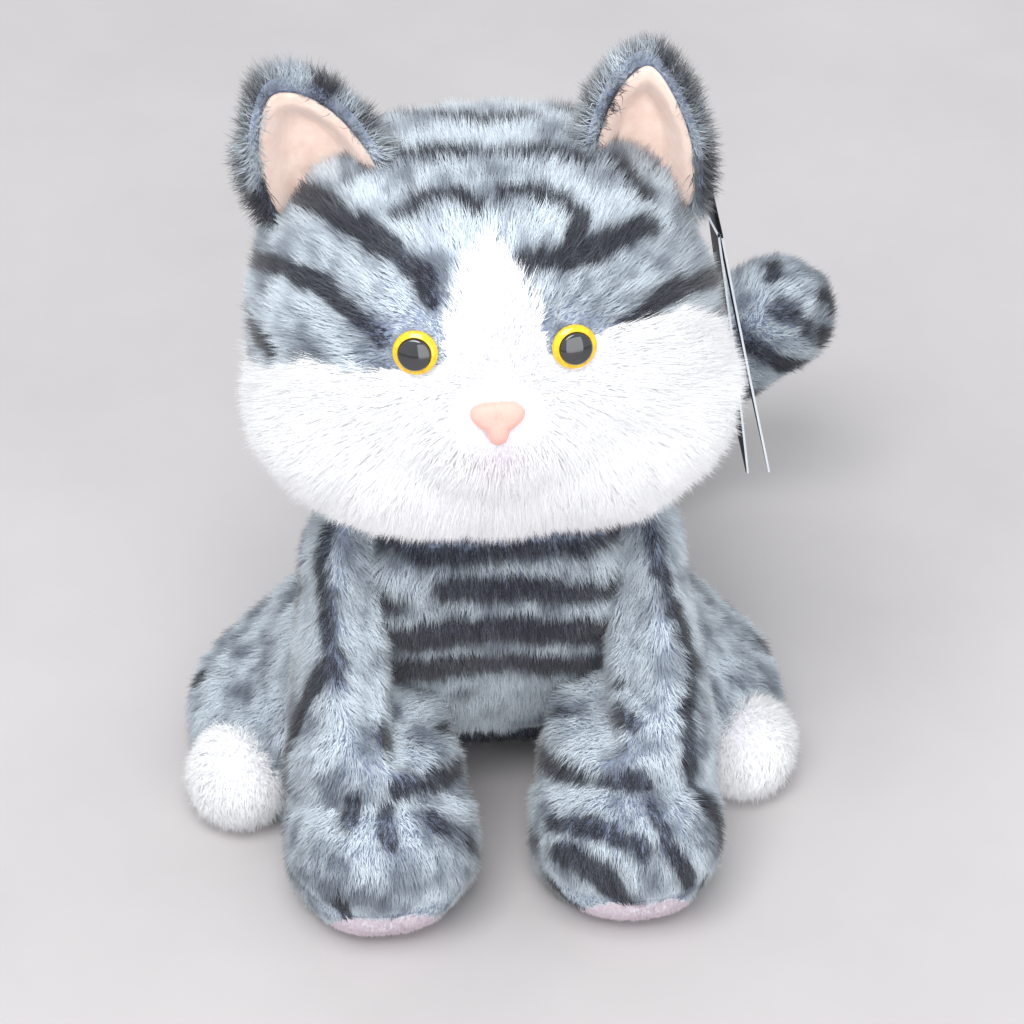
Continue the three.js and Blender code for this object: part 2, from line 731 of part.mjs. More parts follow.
// The plastic loop that goes through the card's hole into the ear's seam.
function buildTagLoop() {
  const [x, y, z] = tagHole();
  const { loopReach, loopRise, loopForward, stopReach } = TAG;
  const path = new THREE.CatmullRomCurve3([
    new THREE.Vector3(x - loopReach, y - loopForward, z + loopRise),
    new THREE.Vector3(x - loopReach / 2, y - loopForward / 3, z + loopRise * 2 / 3),
    new THREE.Vector3(x, y, z),
    new THREE.Vector3(x + stopReach, y, z - TAG.loopRadius / 2),
  ]);
  const section = new THREE.Shape();
  section.absarc(0, 0, TAG.loopRadius, 0, Math.PI * 2);
  const string = new THREE.ExtrudeGeometry(section, {
    extrudePath: path, steps: 8, curveSegments: 4, bevelEnabled: false,
  });
  const stop = new THREE.BoxGeometry(...TAG.stop);
  stop.translate(x + stopReach, y, z - TAG.loopRadius / 2);
  const loop = toSolid(string).add(toSolid(stop)).subtract(headSolid(GAP));
  add('tag_loop', loop, COLOUR.plastic, 0.4);
}

// -------------------------------------------------------------------- whole

buildTorso();
buildHead();
buildNose();
for (const [side, sign] of SIDES) {
  buildEye(side);
  buildEar(side, sign);
  buildFrontLeg(side, sign);
  buildHindLeg(side, sign);
}
buildTail();
buildTag();
buildTagLoop();

export default cat;
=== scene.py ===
"""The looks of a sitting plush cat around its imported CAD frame.

Each sewn part is a skin of fabric panels with its pile grown on it as real tapered
fibres. Places come from the CAD nodes' boxes. Metres, +Z up, the cat faces -Y.
"""

import math

import bmesh
import bpy
import numpy as np
from mathutils import Matrix, Vector
from mathutils.bvhtree import BVHTree
from mathutils.kdtree import KDTree


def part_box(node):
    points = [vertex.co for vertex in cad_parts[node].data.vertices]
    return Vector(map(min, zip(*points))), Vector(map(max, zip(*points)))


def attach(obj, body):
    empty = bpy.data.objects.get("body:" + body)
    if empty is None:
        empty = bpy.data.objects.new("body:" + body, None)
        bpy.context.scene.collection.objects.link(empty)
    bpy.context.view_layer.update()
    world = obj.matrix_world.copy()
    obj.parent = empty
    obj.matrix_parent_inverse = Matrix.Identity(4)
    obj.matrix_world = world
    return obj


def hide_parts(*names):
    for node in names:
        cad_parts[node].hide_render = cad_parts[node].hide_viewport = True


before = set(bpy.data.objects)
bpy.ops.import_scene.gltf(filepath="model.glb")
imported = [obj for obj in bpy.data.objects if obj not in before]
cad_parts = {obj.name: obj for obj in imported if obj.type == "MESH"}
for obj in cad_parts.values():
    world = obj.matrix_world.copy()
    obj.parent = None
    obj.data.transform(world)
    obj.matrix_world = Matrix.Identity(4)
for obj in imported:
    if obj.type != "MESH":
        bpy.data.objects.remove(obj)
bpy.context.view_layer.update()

MM = 0.001
SIDES = (("left", 1), ("right", -1))
FIBRES_IN_PIECE = 32000
ROOT_PAINTED_SHADE, MIDDLE_PAINTED_SHADE = 0.8, 0.94  # painted shade: how much darker a fibre's root and middle are than its tip, for the shade deep in the pile

# ------------------------------------------------------------ places from CAD


def box_of(*nodes):
    """The joint box of some CAD nodes as its lowest and highest corners, in metres."""
    boxes = [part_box(node) for node in nodes]
    low = np.min([np.array(b[0]) for b in boxes], axis=0)
    high = np.max([np.array(b[1]) for b in boxes], axis=0)
    return low, high


HEAD_HALF = np.array([62, 49, 52]) * MM
HEAD_FULLNESS = 2.4
HEAD_PANELS = ("face_panel", "crown_panel", "head_back_left", "head_back_right")
TORSO_PANELS = ("base_panel", "chest_panel", "back_panel_left", "back_panel_right")
_, head_high = box_of(*HEAD_PANELS)
HEAD = np.array([0, head_high[1] - HEAD_HALF[1], head_high[2] - HEAD_HALF[2]])
CHEEK = (np.array([25, -13, -17]) * MM, np.array([38, 34, 31]) * MM)
FACE_SHIFT = -2.4 * MM  # the whole face is set this far towards the cat's right
MUZZLE = (np.array([FACE_SHIFT / MM, -29, -4]) * MM, np.array([27, 26, 21]) * MM)
EYE_SPREAD, EYE_RISE = 20.6 * MM, 21.7 * MM
NOSE_RISE = 5 * MM
JAW_SHARE = 0.88  # how much narrower the head is at the chin
BROW_SHARE = 0.94  # the left side is flatter above the eye, where the tag hangs
FILLING_INSET = 2.2 * MM  # the filling lies this far inside the fabric's face
PILE_INSET = 1.5 * MM  # the fabric lies this far inside the CAD solid
CLOTH_THICKNESS = 1.2 * MM
VOXEL = 1.6 * MM  # cell of the remesh that joins a skin's solids
RELAX_ROUNDS = 12  # rounds of smoothing over their joins

# --------------------------------------------------------------------- maths


def unit(vectors):
    length = np.linalg.norm(vectors, axis=-1, keepdims=True)
    return vectors / np.maximum(length, 1e-9)


def smooth(low, high, values):
    t = np.clip((values - low) / (high - low), 0, 1)
    return t * t * (3 - 2 * t)


def mix(a, b, share):
    return a + (b - a) * share


def noise(points, scale, seed):
    """Smooth value noise from 0 to 1 on a hashed lattice of the given cell size."""
    at = points / scale
    base = np.floor(at).astype(np.int64)
    t = at - base
    t = t * t * (3 - 2 * t)
    total = np.zeros(len(points))
    for corner in np.ndindex(2, 2, 2):
        cell = base + np.array(corner)
        key = cell @ np.array([73856093, 19349663, 83492791]) + seed * 40503
        key = (key ^ (key >> 13)) * 1274126177 & 0xFFFFFFFF
        value = ((key ^ (key >> 16)) & 0xFFFF) / 0xFFFF
        total += value * np.prod(np.where(corner, t, 1 - t), axis=1)
    return total


def path_distance(points, path):
    """Distance from each point to a polyline."""
    path = np.array(path, float)
    best = np.full(len(points), np.inf)
    for a, b in zip(path[:-1], path[1:]):
        along = b - a
        t = np.clip((points - a) @ along / max(along @ along, 1e-12), 0, 1)
        best = np.minimum(best, np.linalg.norm(points - a - t[:, None] * along, axis=1))
    return best


# -------------------------------------------------------------------- meshes


def new_object(name, verts, faces):
    mesh = bpy.data.meshes.new(name)
    mesh.from_pydata([tuple(v) for v in verts], [], [tuple(f) for f in faces])
    mesh.update()
    obj = bpy.data.objects.new(name, mesh)
    bpy.context.collection.objects.link(obj)
    return obj


def applied(obj):
    """Bakes an object's modifiers into its mesh."""
    graph = bpy.context.evaluated_depsgraph_get()
    mesh = bpy.data.meshes.new_from_object(obj.evaluated_get(graph))
    old = obj.data
    obj.modifiers.clear()
    obj.data = mesh
    bpy.data.meshes.remove(old)


def vertex_array(obj):
    co = np.empty(len(obj.data.vertices) * 3)
    obj.data.vertices.foreach_get("co", co)
    return co.reshape(-1, 3)


def set_vertices(obj, co):
    obj.data.vertices.foreach_set("co", co.ravel())
    obj.data.update()


def ball(centre, half, fullness=2.0, rings=40):
    """Vertices and faces of an ellipsoid, or a slightly boxy one over fullness 2."""
    columns = rings * 2
    theta = np.linspace(0, math.pi, rings + 1)[1:-1]
    phi = np.linspace(0, 2 * math.pi, columns, endpoint=False)
    t, p = np.meshgrid(theta, phi, indexing="ij")
    dirs = np.stack([np.sin(t) * np.cos(p), np.sin(t) * np.sin(p), np.cos(t)], -1)
    dirs = np.vstack([[[0, 0, 1]], dirs.reshape(-1, 3), [[0, 0, -1]]])
    scale = (np.abs(dirs) ** fullness).sum(1) ** (-1 / fullness)
    local = dirs * scale[:, None] * np.array(half)
    last = len(local) - 1
    faces = []
    for j in range(columns):
        after = (j + 1) % columns
        faces.append((0, 1 + j, 1 + after))
        faces.append((last, last - columns + after, last - columns + j))
        for i in range(rings - 2):
            a, b = 1 + i * columns, 1 + (i + 1) * columns
            faces.append((a + j, b + j, b + after, a + after))
    return local + np.array(centre), faces


def loft(rings):
    """Vertices and faces of a closed tube through rings of points, with flat ends."""
    count = len(rings[0])
    verts = np.vstack(rings + [rings[0].mean(0)[None], rings[-1].mean(0)[None]])
    first_pole, last_pole = len(verts) - 2, len(verts) - 1
    start = (len(rings) - 1) * count
    faces = []
    for j in range(count):
        after = (j + 1) % count
        faces.append((first_pole, after, j))
        faces.append((last_pole, start + j, start + after))
        for i in range(len(rings) - 1):
            a, b = i * count, (i + 1) * count
            faces.append((a + j, a + after, b + after, b + j))
    return verts, faces


def skin_of(name, solids):
    """One smooth closed surface round some overlapping solids."""
    verts, faces, start = [], [], 0
    for solid_verts, solid_faces in solids:
        verts.append(solid_verts)
        faces += [tuple(index + start for index in face) for face in solid_faces]
        start += len(solid_verts)
    obj = new_object(name, np.vstack(verts), faces)
    remesh = obj.modifiers.new("remesh", "REMESH")
    remesh.mode = "VOXEL"
    remesh.voxel_size = VOXEL
    relax = obj.modifiers.new("relax", "SMOOTH")
    relax.factor = 0.5
    relax.iterations = RELAX_ROUNDS
    applied(obj)
    return obj


def surface_tree(obj):
    return BVHTree.FromPolygons([v.co for v in obj.data.vertices],
                                [tuple(p.vertices) for p in obj.data.polygons])


def panel(name, skin, keep):
    """The part of a skin whose faces keep() accepts, as sewn cloth with a thickness."""
    mesh = skin.data
    centres = np.empty(len(mesh.polygons) * 3)
    mesh.polygons.foreach_get("center", centres)
    kept = keep(centres.reshape(-1, 3))
    used, faces = {}, []
    for polygon, wanted in zip(mesh.polygons, kept):
        if wanted:
            faces.append([used.setdefault(v, len(used)) for v in polygon.vertices])
    co = vertex_array(skin)[list(used)]
    obj = new_object(name, co, faces)
    obj.data.shade_smooth()
    solid = obj.modifiers.new("cloth", "SOLIDIFY")
    solid.thickness = CLOTH_THICKNESS
    solid.offset = -1
    return obj


def stand_in(piece, node, body):
    """Makes a piece stand for a CAD node: puts it on its body and hides the node."""
    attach(piece, body)
    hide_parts(node)


# ----------------------------------------------------------------- materials


class Nodes:
    """Short calls for building one Principled material."""

    def __init__(self, name, roughness, **settings):
        self.material = bpy.data.materials.new(name)
        self.material.use_nodes = True
        self.tree = self.material.node_tree
        self.shader = self.tree.nodes["Principled BSDF"]
        self.shader.inputs["Roughness"].default_value = roughness
        for socket, value in settings.items():
            self.shader.inputs[socket.replace("_", " ")].default_value = value

    def add(self, kind, **inputs):
        node = self.tree.nodes.new(kind)
        for socket, value in inputs.items():
            self.link_or_set(node.inputs[socket.replace("_", " ")], value)
        return node

    def link_or_set(self, socket, value):
        if isinstance(value, bpy.types.NodeSocket):
            self.tree.links.new(value, socket)
        else:
            socket.default_value = value

    def noise(self, scale, detail=3.0, roughness=0.6):
        place = self.tree.nodes.new("ShaderNodeTexCoord")
        return self.add("ShaderNodeTexNoise", Vector=place.outputs["Object"], Scale=scale,
                        Detail=detail, Roughness=roughness)

    def ramp(self, value, stops):
        node = self.add("ShaderNodeValToRGB", Fac=value)
        elements = node.color_ramp.elements
        while len(elements) < len(stops):
            elements.new(0.5)
        for element, (position, colour) in zip(elements, stops):
            element.position = position
            element.color = (*colour, 1)
        return node.outputs["Color"]

    def bump(self, height, distance, strength=1.0):
        node = self.add("ShaderNodeBump", Height=height, Strength=strength, Distance=distance)
        self.tree.links.new(node.outputs["Normal"], self.shader.inputs["Normal"])

    def colour(self, value):
        self.link_or_set(self.shader.inputs["Base Color"], value)
        return self.material


def srgb(red, green, blue):
    """A colour given as 0-255 sRGB numbers, in the renderer's linear numbers."""
    values = np.array([red, green, blue]) / 255
    return tuple(np.where(values <= 0.04045, values / 12.92, ((values + 0.055) / 1.055) ** 2.4))


LIGHT_GREY = np.array(srgb(222, 233, 241))
MID_GREY = np.array(srgb(126, 135, 148))
CHARCOAL = np.array(srgb(34, 32, 44))
WHITE = np.array(srgb(254, 254, 255))
# painted shade: the lavender that white pile turns where shade falls on it
LAVENDER_PAINTED_SHADE = np.array(srgb(238, 226, 236))
PAD_PINK = np.array(srgb(240, 222, 232))


def fibre_material(name, sheen, painted_glow):
    """Pile whose colour each fibre carries, with fine speckle along it.

    Its emission is painted light in each fibre's own colour, standing for the light that thin
    fibres pass on to each other.
    """
    nodes = Nodes(name, 0.82, Sheen_Weight=sheen, Sheen_Roughness=0.5, Specular_IOR_Level=0.25,
                  Emission_Strength=painted_glow)
    attribute = nodes.tree.nodes.new("ShaderNodeAttribute")
    attribute.attribute_name = "pile_colour"
    speckle = nodes.noise(900, detail=2)
    shade = nodes.ramp(speckle.outputs["Fac"], [(0.3, (0.86, 0.86, 0.88)), (0.7, (1, 1, 1))])
    tint = nodes.add("ShaderNodeMix")
    tint.data_type = "RGBA"
    tint.blend_type = "MULTIPLY"
    tint.inputs["Factor"].default_value = 1
    nodes.tree.links.new(attribute.outputs["Color"], tint.inputs["A"])
    nodes.tree.links.new(shade, tint.inputs["B"])
    nodes.tree.links.new(tint.outputs["Result"], nodes.shader.inputs["Emission Color"])
    return nodes.colour(tint.outputs["Result"])


# The last number is each pile's emission: painted light in its own colour.
PILE = {"tabby_plush": fibre_material("tabby_pile", 0.3, 0.06),
        "white_plush": fibre_material("white_pile", 0.3, 0.24),
        "pad_plush": fibre_material("pad_pile", 0.3, 0.12)}


def felt_material():
    nodes = Nodes("ear_felt", 0.9, Sheen_Weight=0.5, Sheen_Roughness=0.4)
    fuzz = nodes.noise(2600, detail=4, roughness=0.7)
    patch = nodes.noise(220, detail=3)
    colour = nodes.ramp(patch.outputs["Fac"],
                        [(0.3, srgb(232, 202, 188)), (0.7, srgb(242, 220, 208))])
    nodes.bump(fuzz.outputs["Fac"], 0.25 * MM, 0.9)
    return nodes.colour(colour)


def flock_material():
    nodes = Nodes("nose_flock", 0.88, Sheen_Weight=0.6, Sheen_Roughness=0.35)
    fuzz = nodes.noise(4200, detail=3, roughness=0.8)
    colour = nodes.ramp(fuzz.outputs["Fac"],
                        [(0.3, srgb(230, 158, 146)), (0.7, srgb(242, 184, 172))])
    nodes.bump(fuzz.outputs["Fac"], 0.12 * MM, 0.8)
    return nodes.colour(colour)


def eye_materials():
    iris = Nodes("iris", 0.16, Coat_Weight=0.6, Coat_Roughness=0.05, Specular_IOR_Level=0.5)
    cloud = iris.noise(700, detail=4)
    iris_colour = iris.ramp(cloud.outputs["Fac"],
                            [(0.3, srgb(214, 160, 10)), (0.7, srgb(246, 206, 30))])
    iris.bump(cloud.outputs["Fac"], 0.03 * MM, 0.5)
    pupil = Nodes("pupil", 0.05, Coat_Weight=1.0, Coat_Roughness=0.02, Specular_IOR_Level=0.7)
    depth = pupil.noise(500, detail=2)
    pupil_colour = pupil.ramp(depth.outputs["Fac"],
                              [(0.3, srgb(16, 16, 20)), (0.7, srgb(30, 31, 38))])
    return iris.colour(iris_colour), pupil.colour(pupil_colour)


def card_material():
    nodes = Nodes("tag_card", 0.6, Specular_IOR_Level=0.25)
    grain = nodes.noise(1500, detail=5)
    nodes.bump(grain.outputs["Fac"], 0.03 * MM, 0.6)
    return nodes.colour(nodes.ramp(grain.outputs["Fac"],
                                   [(0.3, srgb(14, 15, 19)), (0.7, srgb(26, 27, 34))]))


def card_edge_material():
    nodes = Nodes("tag_card_edge", 0.7)
    grain = nodes.noise(2500, detail=4)
    return nodes.colour(nodes.ramp(grain.outputs["Fac"],
                                   [(0.3, srgb(196, 202, 210)), (0.7, srgb(236, 240, 244))]))


def plain_material(name, dark, light, scale, roughness, relief):
    """A slightly uneven surface between two colours, for cloth, fill and plastic."""
    nodes = Nodes(name, roughness)
    grain = nodes.noise(scale, detail=4)
    nodes.bump(grain.outputs["Fac"], relief, 0.8)
    return nodes.colour(nodes.ramp(grain.outputs["Fac"], [(0.3, dark), (0.7, light)]))


# ----------------------------------------------------------------------- fur


def skin_samples(obj, density, seed):
    """Even random roots on a mesh's surface: points and normals."""
    mesh = obj.data
    mesh.calc_loop_triangles()
    corners = np.empty(len(mesh.loop_triangles) * 3, np.int32)
    mesh.loop_triangles.foreach_get("vertices", corners)
    corners = corners.reshape(-1, 3)
    co = vertex_array(obj)
    normals = np.empty(len(mesh.vertices) * 3)
    mesh.vertices.foreach_get("normal", normals)
    normals = normals.reshape(-1, 3)
    a, b, c = co[corners].transpose(1, 0, 2)
    area = np.linalg.norm(np.cross(b - a, c - a), axis=1) / 2
    rng = np.random.default_rng(seed)
    count = int(area.sum() / MM**2 * density)
    picked = rng.choice(len(area), count, p=area / area.sum())
    u, v = rng.random((2, count))
    flip = u + v > 1
    u[flip], v[flip] = 1 - u[flip], 1 - v[flip]
    weights = np.stack([1 - u - v, u, v], 1)[:, :, None]
    chosen = corners[picked]
    return (co[chosen] * weights).sum(1), unit((normals[chosen] * weights).sum(1))


def outside(points, trees, margin):
    """Which points lie outside every one of the closed surfaces, by a margin."""
    free = np.ones(len(points), bool)
    for tree in trees:
        for index in np.flatnonzero(free):
            spot = Vector(points[index])
            near, normal, _, _ = tree.find_nearest(spot)
            if (spot - near).dot(normal) < margin:
                free[index] = False
    return free


def clumped(roots, tips, spacing, pull, seed):
    """Draws tips towards those of scattered leaders, so the pile parts into tufts."""
    rng = np.random.default_rng(seed)
    extent = np.ptp(roots, axis=0) + spacing
    box_area = 2 * (extent @ np.roll(extent, 1))
    roots_in_tuft = max(len(roots) * spacing**2 / box_area, 1e-6)
    share = min(1.0, 0.6 / roots_in_tuft)
    leaders = np.flatnonzero(rng.random(len(roots)) < share)
    if len(leaders) < 2:
        return tips
    tree = KDTree(len(leaders))
    for index, leader in enumerate(leaders):
        tree.insert(roots[leader], index)
    tree.balance()
    nearest = np.array([leaders[tree.find(root)[1]] for root in roots])
    reach = np.linalg.norm(roots - roots[nearest], axis=1)
    hold = pull * np.clip(1 - reach / (spacing * 1.6), 0, 1)[:, None]
    goal = tips[nearest] + (roots - roots[nearest]) * 0.35
    return tips + (goal - tips) * hold


def fibre_mesh(name, curve_points, radii, colours, skin_normals):
    """Closed fibres, bent at a three-sided middle ring and pointed at both ends."""
    root, middle, tip = curve_points
    count = len(root)
    along = unit(tip - root)
    across = unit(np.cross(along, skin_normals + [[0.013, 0.017, 0.011]]))
    depth = np.cross(along, across)
    levels = [root]
    for turn in range(3):
        angle = 2 * math.pi * turn / 3
        offset = across * math.cos(angle) + depth * math.sin(angle)
        levels.append(middle + offset * radii[:, None])
    verts = np.stack(levels + [tip], 1).reshape(-1, 3)
    corners = []
    for turn in range(3):
        this, after = 1 + turn, 1 + (turn + 1) % 3
        corners += [(0, after, this), (this, after, 4)]
    faces = (np.array(corners)[None] + (np.arange(count) * 5)[:, None, None]).reshape(-1, 3)
    mesh = bpy.data.meshes.new(name)
    mesh.vertices.add(len(verts))
    mesh.vertices.foreach_set("co", verts.ravel())
    mesh.loops.add(faces.size)
    mesh.loops.foreach_set("vertex_index", faces.ravel())
    mesh.polygons.add(len(faces))
    mesh.polygons.foreach_set("loop_start", np.arange(len(faces)) * 3)
    mesh.update(calc_edges=True)
    mesh.shade_smooth()

    # painted shade: each fibre is darker at its root and middle than at its tip
    painted_shades = np.array([ROOT_PAINTED_SHADE] + [MIDDLE_PAINTED_SHADE] * 3 + [1.0])
    painted = np.clip(colours[:, None] * painted_shades[None, :, None], 0, 1).reshape(-1, 3)
    layer = mesh.color_attributes.new("pile_colour", "FLOAT_COLOR", "POINT")
    layer.data.foreach_set("color", np.c_[painted, np.ones(len(painted))].ravel())

    side = math.ceil(math.sqrt(count))
    cell = np.stack([np.arange(count) % side, np.arange(count) // side], 1)
    spots = np.array([(0.5, 0.1), (0.1, 0.5), (0.9, 0.5), (0.5, 0.5), (0.5, 0.9)])
    uv = ((cell[:, None] + spots[None]) / side).reshape(-1, 2)
    layer = mesh.uv_layers.new(name="OFBake")
    layer.data.foreach_set("uv", uv[faces.ravel()].ravel())
    spine = np.stack([root - along * 0.1 * MM] + [middle] * 3 + [root], 1)
    from_spine = unit(verts.reshape(count, 5, 3) - spine)
    soft = unit(skin_normals[:, None] * 0.75 + from_spine * 0.5).reshape(-1, 3)
    mesh.normals_split_custom_set_from_vertices(soft)
    return mesh


class Pile:
    """How one kind of plush grows: fibres per mm2, their length and how they lie."""

    def __init__(self, density, length, lean, width=0.105, jitter=0.24, tuft=2.6, pull=0.4):
        self.density, self.length, self.lean = density, length, lean
        self.width, self.jitter, self.tuft, self.pull = width, jitter, tuft, pull


def grow(name, skin, body, material_slot, pile, comb, colour, seed, trim=None, blocks=()):
    """Covers a skin panel with fibres, in pieces small enough to export whole."""
    density = pile.density * 1.0
    roots, normals = skin_samples(skin, density, seed)
    free = outside(roots, blocks, 0.6 * MM) & (roots[:, 2] > 0.4 * MM)
    roots, normals = roots[free], normals[free]
    rng = np.random.default_rng(seed + 1)
    count = len(roots)
    length = pile.length * MM * mix(0.72, 1.18, rng.random(count))
    length *= mix(0.85, 1.15, noise(roots, 7 * MM, seed))
    if trim is not None:
        share = trim(roots)
        grown = share > 0
        roots, normals, length = roots[grown], normals[grown], length[grown] * share[grown]
        count = len(roots)
    flow = comb(roots)
    flow -= normals * (flow * normals).sum(1)[:, None]
    swirl = np.stack([noise(roots, 9 * MM, seed + k) - 0.5 for k in (3, 4, 5)], 1)
    flow = unit(flow) + swirl * 0.7
    stray = rng.normal(size=(count, 3)) * pile.jitter
    start = unit(normals + flow * pile.lean * 0.55 + stray * 0.6)
    end = unit(normals * 0.55 + flow * pile.lean + stray)
    base = roots - normals * 0.5 * MM
    middle = base + start * (length * 0.5)[:, None]
    tips = middle + end * (length * 0.55)[:, None]
    tips = clumped(roots, tips, pile.tuft * MM, pile.pull, seed + 2)
    middle = mix(middle, (base + tips) / 2, 0.25)
    for level in (middle, tips):
        level[:, 2] = np.maximum(level[:, 2], 0.3 * MM + rng.random(count) * 0.8 * MM)
    seen = tips - roots
    seen -= normals * (seen * normals).sum(1)[:, None]
    shade = colour(roots + seen * 0.5) * mix(0.9, 1.08, rng.random(count))[:, None]
    radii = pile.width * MM * mix(0.75, 1.15, rng.random(count)) * 1.0
    order = np.argsort(noise(roots, 40 * MM, 9) + roots[:, 2] / MM, kind="stable")
    for number, part in enumerate(np.array_split(order, math.ceil(count / FIBRES_IN_PIECE))):
        piece_name = f"{name}_{number + 1}"
        mesh = fibre_mesh(piece_name, (base[part], middle[part], tips[part]), radii[part],
                          shade[part], normals[part])
        piece = bpy.data.objects.new(piece_name, mesh)
        bpy.context.collection.objects.link(piece)
        mesh.materials.append(PILE[material_slot])
        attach(piece, body)


# --------------------------------------------------------------- tabby colours


def marked(points, marks, wobble_seed):
    """How dark each point is under marks given as (path in mm, half width in mm): stripes, and on
    the torso also a band of painted shadow.
    """
    dark = np.zeros(len(points))
    wobble = (noise(points, 4 * MM, wobble_seed) - 0.5) * 2.0 * MM
    wobble += (noise(points, 1.2 * MM, wobble_seed + 1) - 0.5) * 1.2 * MM
    for path, half in marks:
        gap = path_distance(points, np.array(path) * MM) + wobble
        core = 1 - smooth(half * 0.9 * MM, half * 1.6 * MM, gap)
        halo = 0.35 * (1 - smooth(half * 1.2 * MM, half * 2.4 * MM, gap))
        dark = np.maximum(dark, np.maximum(core, halo))
    return dark


def tabby(points, marks, seed, pale=()):
    """Grey pile with cloudy patches, dark marks and single darker hairs; the torso's marks also
    hold a band of painted shadow at its base.
    """
    mottle = noise(points, 8 * MM, seed) * 0.6 + noise(points, 3 * MM, seed + 7) * 0.4
    base = mix(LIGHT_GREY, MID_GREY, smooth(0.34, 0.76, mottle)[:, None] * 0.85)
    base = mix(base, LIGHT_GREY, marked(points, pale, seed + 5)[:, None])
    dark = np.maximum(marked(points, marks, seed + 11) * 0.95, smooth(0.6, 0.85, mottle) * 0.3)
    hairs = np.random.default_rng(seed).random(len(points))
    dark = np.clip(dark + 0.3 * smooth(0.7, 1.0, hairs) - 0.12 * smooth(0.3, 0, hairs), 0, 0.97)
    return mix(base, CHARCOAL, dark[:, None])


def white_face_colour(points):
    """White, with pinkish lavender painted shade in the pinch of the mouth and under the chin."""
    mouth = HEAD + np.array([FACE_SHIFT, -56 * MM, -6 * MM])
    # painted shade in the pinch of the mouth, below the nose
    shade = 0.7 * (1 - smooth(3 * MM, 12 * MM, np.linalg.norm(points - mouth, axis=1)))
    # painted shade under the chin, stronger towards the bottom of the head
    chin = 0.5 * smooth(-34 * MM, -52 * MM, points[:, 2] - HEAD[2])
    return mix(white(points), LAVENDER_PAINTED_SHADE, np.maximum(shade, chin)[:, None])


def white(points):
    faint = noise(points, 6 * MM, 71)[:, None]
    return mix(WHITE * 0.93, WHITE, faint)


# --------------------------------------------------------------------- skins


def fitted(skin, low, high, inset=PILE_INSET):
    """Scales and moves a skin so that it fills a box of CAD nodes, less an inset."""
    co = vertex_array(skin)
    low, high = low + inset, high - inset
    own_low, own_high = co.min(0), co.max(0)
    set_vertices(skin, low + (co - own_low) * (high - low) / (own_high - own_low))
    return skin


def head_skin():
    solids = [ball(HEAD, HEAD_HALF, HEAD_FULLNESS, 48), ball(HEAD + MUZZLE[0], MUZZLE[1])]
    for _, sign in SIDES:
        solids.append(ball(HEAD + CHEEK[0] * (sign, 1, 1), CHEEK[1]))
    skin = skin_of("head_skin", solids)
    low, high = box_of(*HEAD_PANELS)
    co = vertex_array(skin)
    co[:, 2] = np.maximum(co[:, 2], low[2])
    set_vertices(skin, co)
    fitted(skin, low, high, np.array([1, 1, 0.3]) * PILE_INSET)
    co = vertex_array(skin)
    height = (co[:, 2] - HEAD[2]) / MM
    jaw = mix(1, JAW_SHARE, smooth(-12, -50, height))
    brow = mix(1, BROW_SHARE, smooth(-8, 14, height) * (co[:, 0] > 0))
    co[:, 0] *= jaw * brow
    set_vertices(skin, co)
    return skin


# Torso sections from the base up: height, middle (Y), half width and half depth, in mm.
TORSO = np.array([(0, 2, 29, 27), (16, 2, 34, 33), (50, -3, 34, 41), (80, -13, 34, 42),
                  (100, -21, 34, 34), (118, -27, 28, 24)])
TORSO_FULLNESS = 4
CHEST_BULGE = 0.14  # how much wider the chest is in front, beside the legs
BELLY_TUCK = 12 * MM  # how far the belly draws back above the base
BODY_SIDE = 34 * MM  # the legs are sewn on at this distance from the middle


def torso_skin():
    angles = np.linspace(0, 2 * math.pi, 72, endpoint=False)
    ring = np.stack([np.cos(angles), np.sin(angles)], 1)
    ring *= ((np.abs(ring) ** TORSO_FULLNESS).sum(1) ** (-1 / TORSO_FULLNESS))[:, None]
    rings = []
    for z in np.linspace(TORSO[0, 0], TORSO[-1, 0], 40):
        y, wide, deep = (np.interp(z, TORSO[:, 0], TORSO[:, k]) for k in (1, 2, 3))
        level = np.c_[ring * (wide, deep), np.full(len(ring), z)]
        rings.append((level + (0, y, 0)) * MM)
    low, high = box_of(*TORSO_PANELS)
    skin = fitted(skin_of("torso_skin", [loft(rings)]), low, high)
    co = vertex_array(skin)
    x, y, z = (co / MM).T
    front = smooth(-10, -35, y)
    co[:, 0] *= 1 + CHEST_BULGE * front * smooth(45, 70, z)
    co[:, 1] += BELLY_TUCK * smooth(-5, -25, y) * smooth(30, 8, z)
    set_vertices(skin, co)
    return skin


def tapered(start, end, start_half, end_half, rings=12, sides=40):
    """A barrel between two upright ovals, for a limb."""
    angles = np.linspace(0, 2 * math.pi, sides, endpoint=False)
    oval = np.stack([np.cos(angles), np.sin(angles), np.zeros(sides)], 1)
    shares = np.linspace(0, 1, rings)
    return loft([mix(np.array(start), np.array(end), t)
                 + oval * mix(np.array(start_half), np.array(end_half), t) for t in shares][::-1])


LEG_TOP = np.array([(38, -38, 92), (13.5, 19, 22)]) * MM
LEG_ANKLE = np.array([(37, -62, 38), (23, 22, 27)]) * MM
LEG_PAW = np.array([(36, -75, 20), (24, 26, 23.5)]) * MM
PAW_FULLNESS = 2.5
LEG_INSET_Z = 50 * MM  # the leg reaches under the chest only below this height
LEG_EDGE_ROUNDING = 11 * MM  # how far the upper leg's inner front edge is drawn back
PAW_SPREAD = 2.5 * MM  # how much fuller the paw is on its inner side
HAUNCH = (np.array([40, -6, 12]) * MM, np.array([47, 37, 42]) * MM)
FOOT = (np.array([74, -33, 13]) * MM, np.array([12.8, 14.2, 12.6]) * MM)
FOOT_LIFT = 1 * MM  # the foot's cloth stays this far above the floor, for its pile


